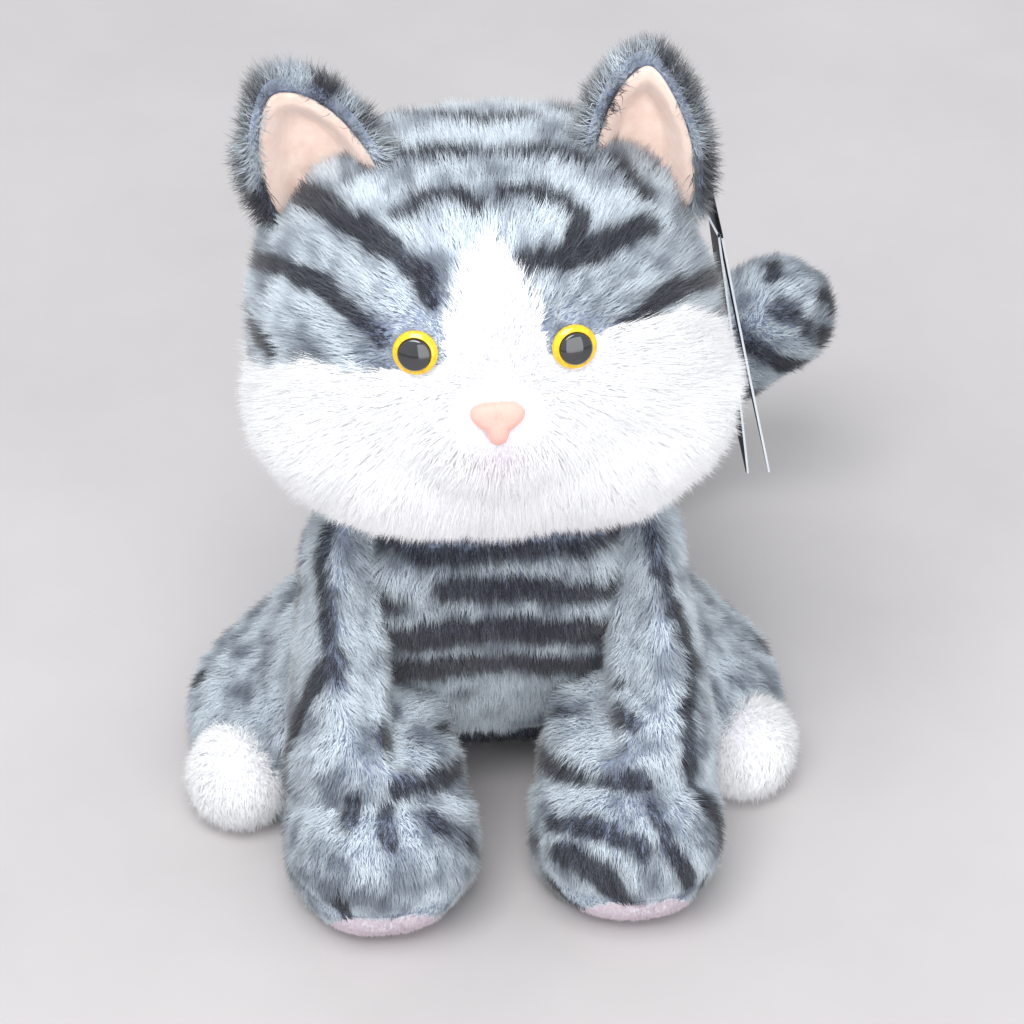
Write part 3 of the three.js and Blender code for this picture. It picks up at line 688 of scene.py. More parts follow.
def kept_outside(skin, sign, above):
    """Flattens a limb against the body's side wherever it is higher than above."""
    co = vertex_array(skin)
    wall = mix(0, BODY_SIDE, smooth(above - 5 * MM, above + 2 * MM, co[:, 2]))
    wall = np.where(wall < 1 * MM, -1, wall)
    co[:, 0] = sign * np.maximum(sign * co[:, 0], wall)
    co[:, 2] = np.maximum(co[:, 2], 0)
    set_vertices(skin, co)


def front_leg_skin(side, sign):
    flip = np.array([sign, 1, 1])
    solids = [ball(centre * flip, half) for centre, half in (LEG_TOP, LEG_ANKLE)]
    solids.append(ball(LEG_PAW[0] * flip, LEG_PAW[1], PAW_FULLNESS))
    solids.append(tapered(LEG_TOP[0] * flip, LEG_ANKLE[0] * flip, LEG_TOP[1], LEG_ANKLE[1]))
    skin = skin_of(f"front_leg_skin_{side}", solids)
    kept_outside(skin, sign, LEG_INSET_Z)
    low, high = box_of(f"front_leg_{side}", f"front_paw_pad_{side}")
    fitted(skin, low, high)
    co = vertex_array(skin)
    x, y, z = (co * (sign, 1, 1) / MM).T
    inner_edge = smooth(48, 34, x) * smooth(LEG_TOP[0][1] / MM, -52, y)
    co[:, 1] += LEG_EDGE_ROUNDING * inner_edge * smooth(50, 66, z)
    co[:, 0] -= sign * PAW_SPREAD * smooth(30, 14, x) * smooth(46, 30, z)
    set_vertices(skin, co)
    return skin


HAUNCH_SLOPE = {"left": 0.52, "right": 0.36}  # share of its width left at the top


def haunch_skin(side, sign):
    skin = skin_of(f"haunch_skin_{side}", [ball(HAUNCH[0] * (sign, 1, 1), HAUNCH[1])])
    co = vertex_array(skin)
    slope = mix(1, HAUNCH_SLOPE[side], smooth(14 * MM, 44 * MM, co[:, 2]))
    co[:, 0] = sign * (BODY_SIDE + (sign * co[:, 0] - BODY_SIDE) * slope)
    set_vertices(skin, co)
    kept_outside(skin, sign, -20 * MM)
    low, high = box_of(f"haunch_{side}")
    return fitted(skin, low, high)


def foot_skin(side, sign):
    skin = skin_of(f"foot_skin_{side}", [ball(FOOT[0] * (sign, 1, 1), FOOT[1])])
    co = vertex_array(skin)
    co[:, 2] = np.maximum(co[:, 2], FOOT_LIFT)
    set_vertices(skin, co)
    return skin


TAIL = np.array([(0, 50.5, 22), (26, 84, 24), (70, 110, 42), (101, 104, 72)]) * MM
TAIL_RADIUS = np.array([13.5, 15]) * MM


def curve_through(points, steps):
    """Evenly read points of a smooth curve through some others (Catmull-Rom)."""
    ends = np.vstack([2 * points[0] - points[1], points, 2 * points[-1] - points[-2]])
    out = []
    for k in range(len(points) - 1):
        p0, p1, p2, p3 = ends[k:k + 4]
        for t in np.arange(steps) / steps:
            out.append(0.5 * (2 * p1 + (p2 - p0) * t + (2 * p0 - 5 * p1 + 4 * p2 - p3) * t**2
                              + (3 * p1 - p0 - 3 * p2 + p3) * t**3))
    return np.array(out + [points[-1]])


def tube(spine, radii, sides=32):
    """Vertices and faces of a round tube with flat ends along a spine."""
    tangents = unit(np.gradient(spine, axis=0))
    across = unit(np.cross(tangents, [[0.02, 0.03, 1]]))
    lift = np.cross(across, tangents)
    rings = []
    for point, side, up, radius in zip(spine, across, lift, radii):
        angles = np.linspace(0, 2 * math.pi, sides, endpoint=False)[:, None]
        rings.append(point + (side * np.cos(angles) + up * np.sin(angles)) * radius)
    return loft(rings[::-1])


def tail_skin():
    spine = curve_through(TAIL, 12)
    radii = np.linspace(*TAIL_RADIUS, len(spine))
    solids = [tube(spine, radii), ball(TAIL[0], [TAIL_RADIUS[0]] * 3),
              ball(TAIL[-1], [TAIL_RADIUS[1]] * 3)]
    low, high = box_of("tail")
    return fitted(skin_of("tail_skin", solids), low, high)


# ---------------------------------------------------------------------- ears

FELT_THICKNESS = 1.2
EAR_CORNERS = {"left": [(28, 48), (54, 31), (43, 74)], "right": [(28, 48), (54, 31), (57, 72)]}
EAR_Y = 6  # from the middle of the head
EAR_BOW = 4.5  # how far the edges bow out
EAR_CUP = 5.0  # how far the sides come forward
EAR_HOLLOW = 5.5  # depth of the felt's hollow
EAR_RIM = 3.0  # fur backing beyond the felt
EAR_THICKNESS = 4.4


def ear_outline(side, margin, count=72):
    """The ear's rounded outline round its middle, in mm from the head's middle (X, Z)."""
    corners = np.array(EAR_CORNERS[side], float)
    middle = corners.mean(0)
    grown = corners + unit(corners - middle) * margin * 1.1
    points = []
    for k in range(3):
        a, b = grown[k], grown[(k + 1) % 3]
        half = (a + b) / 2
        bend = half + unit(half - middle) * (margin * 0.6 + EAR_BOW) * 2
        for t in np.linspace(0, 1, count // 3, endpoint=False):
            points.append(a * (1 - t) ** 2 + 2 * bend * t * (1 - t) + b * t**2)
    points = np.array(points)
    for _ in range(6):
        points = (np.roll(points, 1, 0) + 2 * points + np.roll(points, -1, 0)) / 4
    return points, middle


def ear_sheet(side, sign, margin, shares, depths):
    """Rings of an ear sheet: a share of the outline and a depth behind the front each."""
    outline, middle = ear_outline(side, margin)
    corners = np.array(EAR_CORNERS[side], float)
    reach = (corners[1, 0] - corners[0, 0]) / 2
    rings = []
    for share, depth in zip(shares, depths):
        flat = middle + (outline - middle) * share
        forward = EAR_CUP * np.minimum(1.6, ((flat[:, 0] - middle[0]) / reach) ** 2)
        y = EAR_Y + depth - forward
        ring = np.stack([flat[:, 0] * sign, y, flat[:, 1]], 1) * MM + HEAD
        rings.append(ring if sign > 0 else ring[::-1])
    return rings


def felt_depth(share):
    return EAR_HOLLOW * (1 - smooth(0.42, 0.88, share))


def ear_parts(side, sign):
    """The felt lining and the fur back, each a closed shell."""
    inner = np.linspace(0.04, 1, 22)
    front = ear_sheet(side, sign, 0, inner, felt_depth(inner))
    edge = ear_sheet(side, sign, 0, [1.02], [0.6])
    rear = ear_sheet(side, sign, 0, inner[::-1], felt_depth(inner[::-1]) + FELT_THICKNESS)
    felt = new_object(f"ear_lining_{side}_felt", *loft(front + edge + rear))

    shares = np.sin(np.linspace(0.03, 1, 16) * math.pi / 2)
    half = EAR_THICKNESS / 2 * np.sqrt(np.clip(1 - shares**6, 0, 1))
    centre = 1.6 + EAR_HOLLOW * (1 - smooth(0.35, 0.9, shares)) * 0.85 + half.max() * 0.9
    back_rings = ear_sheet(side, sign, EAR_RIM, shares, centre - half)
    back_rings += ear_sheet(side, sign, EAR_RIM, shares[::-1], (centre + half)[::-1])
    back = new_object(f"ear_back_{side}_cloth", *loft(back_rings))
    for part in (felt, back):
        outward(part)
        part.data.shade_smooth()
    return felt, back


def outward(obj):
    """Turns a closed mesh's faces to look out."""
    mesh = obj.data
    mesh.calc_loop_triangles()
    corners = np.array([tuple(t.vertices) for t in mesh.loop_triangles])
    a, b, c = vertex_array(obj)[corners].transpose(1, 0, 2)
    if (a * np.cross(b, c)).sum() < 0:
        mesh.flip_normals()


GREY_CLOTH = plain_material("grey_backing", srgb(112, 122, 146), srgb(160, 172, 196), 900, 0.95,
                            0.2 * MM)
WHITE_CLOTH = plain_material("white_backing", srgb(225, 225, 234), srgb(250, 250, 255), 900,
                             0.95, 0.2 * MM)

# ------------------------------------------------------------- face landmarks


def eye_place(sign):
    """Middle of an eye on the face, and the way the face looks there."""
    spread, rise = EYE_SPREAD * sign + FACE_SHIFT, EYE_RISE
    power = HEAD_FULLNESS
    left = 1 - abs(spread / HEAD_HALF[0]) ** power - abs(rise / HEAD_HALF[2]) ** power
    local = np.array([spread, -HEAD_HALF[1] * left ** (1 / power), rise])
    slope = np.sign(local) * np.abs(local / HEAD_HALF) ** (power - 1) / HEAD_HALF
    return HEAD + local, slope / np.linalg.norm(slope)


def nose_place():
    lift = (NOSE_RISE - MUZZLE[0][2]) / MUZZLE[1][2]
    forward = MUZZLE[0][1] - MUZZLE[1][1] * math.sqrt(1 - lift**2)
    normal = np.array([0, -math.cos(0.3), math.sin(0.3)])
    return HEAD + np.array([FACE_SHIFT, forward, NOSE_RISE]), normal


def frame_at(place, normal):
    """A matrix whose Z looks along the normal and whose X runs level across the face."""
    out = Vector(normal)
    across = Vector((0, 0, 1)).cross(out).normalized()
    return Matrix.Translation(Vector(place)) @ Matrix(
        (across, out.cross(across), out)).transposed().to_4x4()


# In mm from the head's middle: the top edge of the white (X, Z), and the blaze's half
# width at some heights (Z, half width).
WHITE_EDGE = np.array([(-64, -16), (-58, 2), (-46, 14), (-32, 15), (-16, 19), (12, 20), (28, 23),
                       (44, 22), (54, 10), (62, -8)])
BLAZE = np.array([(10, 16), (20, 14), (30, 11), (38, 7), (45, 0)])
WHITE_BACK = 2  # the white ends at this Y, at the head's side seam
NOT_WHITE = -5


def white_face(points):
    """Above zero on the white face panel: muzzle, cheeks and the blaze."""
    x, y, z = ((points - HEAD) / MM).T
    lower = np.interp(x, *WHITE_EDGE.T) - z
    half = np.interp(z, *BLAZE.T)
    blaze = np.where(z < BLAZE[-1, 0], half - np.abs(x - FACE_SHIFT / MM), NOT_WHITE)
    wobble = (noise(points, 3 * MM, 5) - 0.5) * 2.5
    return np.where(y < WHITE_BACK, np.maximum(lower, blaze) + wobble, NOT_WHITE)


def near_share(points, centre, inner, outer, least, squash=(1, 1, 1)):
    """From least beside a point up to 1 away from it, for pile that is cut short there."""
    gap = np.linalg.norm((points - centre) * squash, axis=1) / MM
    return mix(least, 1, smooth(inner, outer, gap))


def face_trim(points):
    """Shorter pile round the eyes and the nose."""
    share = near_share(points, nose_place()[0], 6, 20, 0.18, (0.8, 1, 1.1))
    for _, sign in SIDES:
        share = np.minimum(share, near_share(points, eye_place(sign)[0], 6, 17, 0.22))
    beside_tag = smooth(44, 54, points[:, 0] / MM) * smooth(-46, -30, points[:, 1] / MM)
    return share * mix(1, 0.55, beside_tag)


# ------------------------------------------------------------------- combing


def head_comb(points):
    """Pile lies away from the nose: back over the crown, out and down on the cheeks."""
    local = (points - HEAD) / MM
    away = local - np.array([0, -50, 6])
    down = np.array([0, 0, -1]) * smooth(20, -25, local[:, 2])[:, None] * 22
    return unit(away + down)


def body_comb(points):
    return np.tile([0, -0.15, -1.0], (len(points), 1))


def leg_comb(points):
    """Down the leg, then forward over the paw."""
    forward = smooth(50, 15, points[:, 2] / MM)[:, None]
    return mix(np.array([0, -0.3, -1.0]), np.array([0, -1.0, -0.25]), forward)


def haunch_comb(points):
    return np.tile([0, -0.6, -0.8], (len(points), 1))


def tail_comb(points):
    spine = curve_through(TAIL, 12)
    tangents = unit(np.gradient(spine, axis=0))
    nearest = np.linalg.norm(points[:, None] - spine[None], axis=2).argmin(1)
    return tangents[nearest]


def ear_comb(points):
    """Outward from the ear's middle and back, clear of the felt."""
    side = "left" if points[:, 0].mean() > 0 else "right"
    x, z = np.array(EAR_CORNERS[side]).mean(0) * (1 if side == "left" else -1, 1) * MM
    away = unit((points - HEAD) - np.array([x, 0, z]))
    return away * (1.0, 0, 1.0) + np.array([0, 0.1, 0.1])


# ------------------------------------------------------------------- marking

# Each mark is a path in mm and a half width: mostly stripes, and on the torso one band of painted
# shadow.


def band(half_path, half_width):
    """A stripe across the middle: a path from the right side to X = 0, and its mirror."""
    return half_path + [(-x, y, z) for x, y, z in half_path[-2::-1]], half_width


def mirrored(marks):
    return [([(-x, y, z) for x, y, z in path], half) for path, half in marks]


HEAD_MARKS = [
    ([(-30, -30, 215), (-16, -31, 220), (2, -34, 221), (14, -33, 220), (24, -35, 218)], 1.7),
    ([(-22, -6, 213), (-12, -12, 218), (0, -18, 220), (14, -14, 218)], 1.6),
    ([(-24, -50, 215), (-16, -47, 218), (-9, -48, 218), (-5, -52, 217)], 1.8),
    ([(2, -48, 218), (9, -47, 218), (17, -50, 216), (21, -54, 214)], 1.8),
    ([(21, -55, 214), (17, -60, 210), (13, -64, 208)], 1.8),
    ([(-48, -24, 206), (-39, -43, 211), (-29, -55, 210), (-20, -63, 207), (-18, -68, 203)], 2.6),
    ([(-60, -22, 186), (-50, -49, 199), (-43, -57, 200), (-37, -65, 197), (-31, -70, 193)], 2.1),
    ([(-60, -22, 186), (-61, -27, 176), (-60, -38, 176), (-56, -52, 178)], 2.0),
    ([(7, -64, 209), (16, -63, 209)], 2.6),
    ([(21, -62, 209), (28, -57, 210), (38, -51, 209)], 2.6),
    ([(31, -70, 193), (39, -64, 196), (48, -56, 195), (61, -36, 182)], 2.6),
    ([(49, -35, 204), (56, -28, 196)], 2.8),
    ([(33, -32, 215), (38, -40, 212)], 2.8),
    ([(22, -6, 214), (28, -4, 211)], 2.6),
    band([(-40, 2, 205), (-20, 6, 212), (0, 8, 213)], 1.8),
    band([(-50, 4, 188), (-28, 15, 196), (0, 18, 199)], 2.2),
    band([(-55, 2, 168), (-30, 17, 178), (0, 20, 181)], 2.4),
    band([(-52, 2, 150), (-30, 17, 160), (0, 20, 162)], 2.2),
]
BODY_STRIPES_AND_BASE_SHADOW = [
    ([(-30, -40, 106), (-18, -50, 107), (1, -52, 109), (23, -47, 106), (32, -38, 104)], 4.6),
    ([(-14, -53, 96), (9, -54, 95), (24, -50, 91), (36, -40, 88)], 3.6),
    ([(-36, -38, 94), (-26, -48, 88)], 3.6),
    ([(-25, -50, 76), (-12, -53, 81), (3, -54, 81), (19, -52, 77), (36, -38, 72)], 4.6),
    ([(-30, -42, 60), (-13, -50, 64), (4, -52, 65), (21, -48, 60), (36, -30, 56)], 5.0),
    # painted shadow, not a stripe: a broad dark band round the torso's base, for the shade between
    # the legs and under the belly
    band([(-30, -16, 12), (0, -18, 10)], 9),
    band([(-34, -20, 100), (-30, 0, 98), (0, 8, 100)], 2.6),
    band([(-34, -5, 82), (-26, 20, 82), (0, 28, 84)], 2.4),
    band([(-34, 5, 64), (-26, 32, 64), (0, 36, 66)], 2.6),
    band([(-34, 10, 46), (-26, 34, 46), (0, 38, 48)], 2.4),
    ([(-34, 10, 28), (-26, 32, 28), (26, 32, 28), (34, 10, 28)], 2.6),
]
BELLY_TUFT = [band([(-12, -42, 40), (0, -44, 42)], 5.0)]
LEG_MARKS = {
    "right": [
        ([(-45, -43, 108), (-47, -49, 98), (-47, -55, 86), (-46, -61, 77)], 1.8),
        ([(-46, -61, 77), (-45, -65, 72), (-40, -71, 66), (-37, -74, 60)], 1.8),
        ([(-46, -61, 77), (-50, -60, 70), (-56, -61, 52), (-59, -66, 33), (-60, -78, 16)], 2.2),
        ([(-36, -48, 109), (-39, -55, 99), (-40, -58, 89), (-38, -62, 81), (-34, -66, 73)], 1.8),
        ([(-50, -33, 97), (-52, -38, 84), (-53, -38, 72)], 2.4),
        ([(-43, -83, 46), (-44, -89, 41)], 1.9),
        ([(-34, -86, 44), (-34, -94, 38)], 1.9),
        ([(-33, -72, 57), (-25, -66, 56), (-15, -60, 50)], 3.0),
        ([(-30, -82, 47), (-22, -78, 45), (-14, -66, 40)], 2.4),
        ([(-22, -88, 38), (-15, -84, 28), (-13, -80, 17)], 2.6),
        ([(-48, -98, 22), (-46, -97, 11)], 1.6),
    ],
    "left": [
        ([(42, -47, 108), (45, -53, 98), (50, -56, 78), (52, -58, 66), (50, -68, 58),
          (50, -76, 50)], 2.0),
        ([(50, -76, 50), (54, -84, 38), (58, -84, 20), (56, -91, 12)], 2.4),
        ([(20, -50, 56), (30, -60, 60), (40, -67, 70)], 1.8),
        ([(16, -56, 50), (27, -62, 54), (38, -75, 59)], 2.0),
        ([(13, -60, 38), (21, -73, 42), (36, -83, 46)], 3.2),
        ([(12, -72, 18), (18, -92, 29), (26, -99, 27), (31, -100, 16)], 3.0),
        ([(14, -84, 32), (26, -93, 37), (36, -97, 33)], 2.2),
        ([(14, -84, 10), (22, -92, 6)], 2.6),
        ([(39, -89, 42), (43, -96, 34), (50, -97, 18)], 1.8),
    ],
}
LEG_BACK_MARKS = [([(58, -52, 40), (57, -44, 34), (48, -40, 30)], 2.4)]
LEG_MARKS["left"] += LEG_BACK_MARKS
LEG_MARKS["right"] += mirrored(LEG_BACK_MARKS)
HAUNCH_MARKS = {
    "right": [
        ([(-78, -26, 28), (-74, -24, 38), (-66, -22, 45), (-55, -26, 46)], 2.2),
        ([(-68, -14, 46), (-58, -23, 47)], 2.6),
        ([(-66, -34, 32), (-58, -35, 37)], 2.4),
        ([(-61, 2, 50), (-64, -11, 49)], 2.4),
    ],
    "left": [
        ([(50, -14, 54), (66, -10, 49), (75, -16, 40), (84, -10, 24)], 1.8),
        ([(67, -28, 39), (70, -29, 34)], 2.4),
        ([(58, -32, 38), (50, -36, 30)], 2.0),
    ],
}
HAUNCH_BACK_MARKS = [
    ([(84, 2, 16), (80, 2, 32), (66, 14, 42), (50, 20, 44)], 2.4),
    ([(78, 16, 12), (70, 22, 26), (52, 28, 30)], 2.4),
]
HAUNCH_MARKS["left"] += HAUNCH_BACK_MARKS
HAUNCH_MARKS["right"] += mirrored(HAUNCH_BACK_MARKS)
TAIL_MARKS = [
    ([(97, 96, 86), (99, 103, 87)], 2.0),
    ([(113, 98, 80), (115, 100, 74)], 3.0),
    ([(99, 92, 80), (106, 92, 74), (113, 97, 66)], 2.6),
    ([(88, 92, 72), (97, 90, 66), (106, 94, 58)], 3.2),
    ([(80, 94, 62), (86, 93, 52), (92, 102, 44), (92, 116, 50), (80, 122, 60), (74, 110, 66)], 2.6),
    ([(60, 96, 46), (66, 94, 34), (66, 108, 26), (58, 118, 34), (54, 110, 48)], 2.6),
    ([(34, 74, 34), (38, 78, 16), (28, 98, 14), (22, 102, 30), (26, 88, 38)], 2.6),
]
EAR_MARKS = [
    ([(-44, -20, 236), (-40, -18, 246)], 4.0),
    ([(-64, -22, 240), (-66, -22, 228), (-60, -24, 206)], 5.5),
    ([(-32, -22, 228), (-26, -22, 218)], 4.5),
    ([(50, -20, 246), (60, -22, 230), (62, -24, 204)], 5.5),
    ([(34, -22, 232), (28, -24, 218)], 5.5),
    ([(40, -18, 238), (46, -16, 246)], 4.0),
]

HEAD_PILE = Pile(5.2, 8.0, 0.75)
FACE_PILE = Pile(5.2, 9.0, 0.75)
BODY_PILE = Pile(4.2, 6.0, 0.8)
FOOT_PILE = Pile(5.0, 5.5, 0.55)
PAD_PILE = Pile(5.0, 2.0, 0.5)
TAIL_PILE = Pile(4.2, 6.5, 0.8)
EAR_PILE = Pile(6.5, 7.0, 0.7, jitter=0.3, pull=0.2)


# ------------------------------------------------------------------ assembly


def covered(node, body, kind, cloth, pile, comb, colour, seed, **more):
    """A fabric panel that stands for its CAD node, with the pile grown on it."""
    cloth.data.materials.append(WHITE_CLOTH if kind in ("white_plush", "pad_plush")
                                else GREY_CLOTH)
    stand_in(cloth, node, body)
    grow(f"{node}_pile", cloth, body, kind, pile, comb, colour, seed, **more)


def build_filling(node, body, kind, skin, bottom=None, top=None):
    """What a cover is stuffed with: its skin drawn in, cut off at one or two heights."""
    mesh = bmesh.new()
    mesh.from_mesh(skin.data)
    mesh.normal_update()
    for vertex in mesh.verts:
        vertex.co -= vertex.normal * FILLING_INSET
    for height, above in ((bottom, True), (top, False)):
        if height is not None:
            cut = bmesh.ops.bisect_plane(mesh, geom=mesh.verts[:] + mesh.edges[:] + mesh.faces[:],
                                         plane_co=(0, 0, height), plane_no=(0, 0, 1),
                                         clear_inner=above, clear_outer=not above)
            rim = [edge for edge in cut["geom_cut"] if isinstance(edge, bmesh.types.BMEdge)]
            bmesh.ops.holes_fill(mesh, edges=rim)
    data = bpy.data.meshes.new(f"{node}_body")
    mesh.to_mesh(data)
    mesh.free()
    filling = bpy.data.objects.new(f"{node}_body", data)
    bpy.context.collection.objects.link(filling)
    data.materials.clear()
    data.materials.append(HIDDEN_LOOKS[kind])
    stand_in(filling, node, body)


def build_fillings(skins):
    build_filling("head_stuffing", "head", "stuffing", skins["head"])
    pouch_low, pouch_high = box_of("pellet_pouch")
    build_filling("pellet_pouch", "torso", "pellet_cloth", skins["torso"],
                  bottom=pouch_low[2], top=pouch_high[2])
    stuffing_low, _ = box_of("torso_stuffing")
    build_filling("torso_stuffing", "torso", "stuffing", skins["torso"], bottom=stuffing_low[2])
    for side, _ in SIDES:
        build_filling(f"front_leg_stuffing_{side}", f"foreleg_{side}", "stuffing",
                      skins[f"leg_{side}"])
        build_filling(f"haunch_stuffing_{side}", f"hindleg_{side}", "stuffing",
                      skins[f"haunch_{side}"])


def everywhere(points):
    return np.ones(len(points), bool)


def build_head(skin):
    edge_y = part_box("head_back_left")[0][1]

    def is_white(points):
        return white_face(points) > 0

    panels = {
        "face_panel": is_white,
        "crown_panel": lambda p: ~is_white(p) & (p[:, 1] <= edge_y),
        "head_back_left": lambda p: ~is_white(p) & (p[:, 1] > edge_y) & (p[:, 0] > 0),
        "head_back_right": lambda p: ~is_white(p) & (p[:, 1] > edge_y) & (p[:, 0] <= 0),
    }
    for number, (node, keep) in enumerate(panels.items()):
        face = node == "face_panel"
        covered(node, "head", "white_plush" if face else "tabby_plush",
                panel(f"{node}_cloth", skin, keep), FACE_PILE if face else HEAD_PILE, head_comb,
                white_face_colour if face else lambda p: tabby(p, HEAD_MARKS, 21),
                100 + number * 10, trim=face_trim)


def build_torso(skin, limb_trees):
    seam_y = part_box("chest_panel")[1][1]
    base_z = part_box("base_panel")[1][2]

    def is_base(p):
        return p[:, 2] < base_z

    def under_limbs(p):
        return np.where(outside(p, limb_trees, 0), 1, 0.4)

    panels = {
        "base_panel": is_base,
        "chest_panel": lambda p: ~is_base(p) & (p[:, 1] <= seam_y),
        "back_panel_left": lambda p: ~is_base(p) & (p[:, 1] > seam_y) & (p[:, 0] > 0),
        "back_panel_right": lambda p: ~is_base(p) & (p[:, 1] > seam_y) & (p[:, 0] <= 0),
    }
    for number, (node, keep) in enumerate(panels.items()):
        covered(node, "torso", "tabby_plush", panel(f"{node}_cloth", skin, keep), BODY_PILE,
                body_comb, lambda p: tabby(p, BODY_STRIPES_AND_BASE_SHADOW, 31, BELLY_TUFT), 200 + number * 10,
                trim=under_limbs)


PAD_HALF_WIDTH = 19 * MM


def build_front_leg(side, skin, torso_tree):
    pad_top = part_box(f"front_paw_pad_{side}")[1][2]
    paw_x, paw_y, _ = LEG_PAW[0]

    def is_pad(p):
        edge = np.interp(p[:, 1], [paw_y - 20 * MM, paw_y], [pad_top + 5 * MM, 1.5 * MM])
        side_share = (np.abs(p[:, 0]) - paw_x) / PAD_HALF_WIDTH
        return p[:, 2] < edge * np.clip(1.25 - side_share**2, 0, 1)

    def leg_trim(p):
        near_body = np.where(outside(p, [torso_tree], 0.8 * MM), 1, 0.35)
        over_pad = smooth(4 * MM, 12 * MM, p[:, 2] - pad_top - 3 * MM)
        at_toes = smooth(paw_y, paw_y - 12 * MM, p[:, 1])
        return np.minimum(near_body, mix(1, mix(0.35, 1, over_pad), at_toes))

    body = f"foreleg_{side}"
    marks = LEG_MARKS[side]
    covered(f"front_leg_{side}", body, "tabby_plush",
            panel(f"front_leg_{side}_cloth", skin, lambda p: ~is_pad(p)), BODY_PILE, leg_comb,
            lambda p: tabby(p, marks, 41), 300 if side == "left" else 320, trim=leg_trim)
    covered(f"front_paw_pad_{side}", body, "pad_plush",
            panel(f"front_paw_pad_{side}_cloth", skin, is_pad), PAD_PILE, leg_comb,
            pad_colour, 340 if side == "left" else 350)


def pad_colour(points):
    return mix(PAD_PINK * 0.94, PAD_PINK, noise(points, 4 * MM, 81)[:, None])


def build_hind_leg(side, skin, foot, torso_tree):
    body = f"hindleg_{side}"
    marks = HAUNCH_MARKS[side]
    foot_tree = surface_tree(foot)
    covered(f"haunch_{side}", body, "tabby_plush",
            panel(f"haunch_{side}_cloth", skin, everywhere), BODY_PILE, haunch_comb,
            lambda p: tabby(p, marks, 51), 400 if side == "left" else 420,
            trim=lambda p: np.where(outside(p, [torso_tree], 0.8 * MM), 1, 0.35),
            blocks=[foot_tree])
    covered(f"hind_foot_{side}", body, "white_plush",
            panel(f"hind_foot_{side}_cloth", foot, everywhere), FOOT_PILE, leg_comb, white,
            440 if side == "left" else 450, blocks=[surface_tree(skin)])


def build_tail(skin):
    covered("tail", "tail", "tabby_plush",
            panel("tail_cloth", skin, everywhere), TAIL_PILE, tail_comb,
            lambda p: tabby(p, TAIL_MARKS, 61), 500)


FELT_SEARCH = 14 * MM  # how far in front of a root the felt is looked for
FELT_COVERS = 4.5 * MM  # felt nearer than this in front of a root keeps it bare


def build_ear(side, sign, head_tree):
    felt, back = ear_parts(side, sign)
    body = f"ear_{side}"
    felt.data.materials.append(felt_material())
    stand_in(felt, f"ear_lining_{side}", body)
    felt_tree = surface_tree(felt)

    def behind_felt(points):
        """No pile where the felt lies over the fabric, less than a fabric's depth away."""
        start, ahead = Vector((0, -FELT_SEARCH, 0)), Vector((0, 1, 0))
        shown = []
        for point in points:
            hit = felt_tree.ray_cast(Vector(point) + start, ahead, FELT_SEARCH)[0]
            shown.append(hit is None or point[1] - hit.y > FELT_COVERS)
        return np.where(shown, 1.0, 0.0)

    covered(f"ear_back_{side}", body, "tabby_plush", back, EAR_PILE, ear_comb,
            lambda p: tabby(p, EAR_MARKS, 71), 600 if side == "left" else 620,
            trim=behind_felt, blocks=[head_tree, felt_tree])


# -------------------------------------------------------------- hard fittings


def lathe(name, profile, place, sides=64):
    """A closed round piece from (radius, height) pairs along its own Z, in mm."""
    angles = np.linspace(0, 2 * math.pi, sides, endpoint=False)
    circle = np.stack([np.cos(angles), np.sin(angles)], 1)
    rings = [np.c_[circle * radius, np.full(sides, height)] * MM for radius, height in profile]
    obj = new_object(name, *loft(rings))
    outward(obj)
    obj.data.shade_smooth()
    obj.matrix_world = frame_at(*place)
    return obj


def dome(radius, height, start, stop, steps=14):
    """Profile of an oval dome between two radii."""
    radii = np.linspace(start, stop, steps)
    return [(max(r, 0.02), height * math.sqrt(max(1 - (r / radius) ** 2, 0))) for r in radii]


def build_eyes():
    iris_look, pupil_look = eye_materials()
    for side, sign in SIDES:
        place = eye_place(sign)
        disc = [(0.02, -11), (1.8, -10.8), (1.8, -0.9), (5.7, -0.9), (6.0, -0.4)]
        disc += dome(6.0, 2.2, 5.95, 4.5) + [(4.4, 1.2), (4.35, -0.2), (0.02, -0.2)]
        iris = lathe(f"eye_iris_{side}_disc", disc, place)
        iris.data.materials.append(iris_look)
        pupil = lathe(f"eye_pupil_{side}_dome",
                      [(0.02, 0), (4.1, 0)] + dome(6.0, 3.1, 4.25, 0.02), place)
        pupil.data.materials.append(pupil_look)
        stand_in(iris, f"eye_iris_{side}", "head")
        stand_in(pupil, f"eye_pupil_{side}", "head")


NOSE_HALF_WIDTH, NOSE_HEIGHT, NOSE_DEPTH = 7.4, 12, 3.2
NOSE_CURVES = (((1, 0.46), (1, 0.12)), ((0.85, -0.12), (0.42, -0.24)), ((0.35, -0.58), (0, -0.58)))


def nose_outline():
    """The nose's edge, once round from the top middle, in mm."""
    start, half = (0, 0.4), []
    for bend, end in NOSE_CURVES:
        for t in np.linspace(0, 1, 14, endpoint=False):
            half.append([start[k] * (1 - t) ** 2 + 2 * bend[k] * t * (1 - t) + end[k] * t**2
                         for k in (0, 1)])
        start = end
    half = np.array(half + [start])
    edge = np.vstack([half, (half * (-1, 1))[-2:0:-1]])
    for _ in range(3):
        edge = (np.roll(edge, 1, 0) + 2 * edge + np.roll(edge, -1, 0)) / 4
    return edge * (NOSE_HALF_WIDTH, NOSE_HEIGHT)


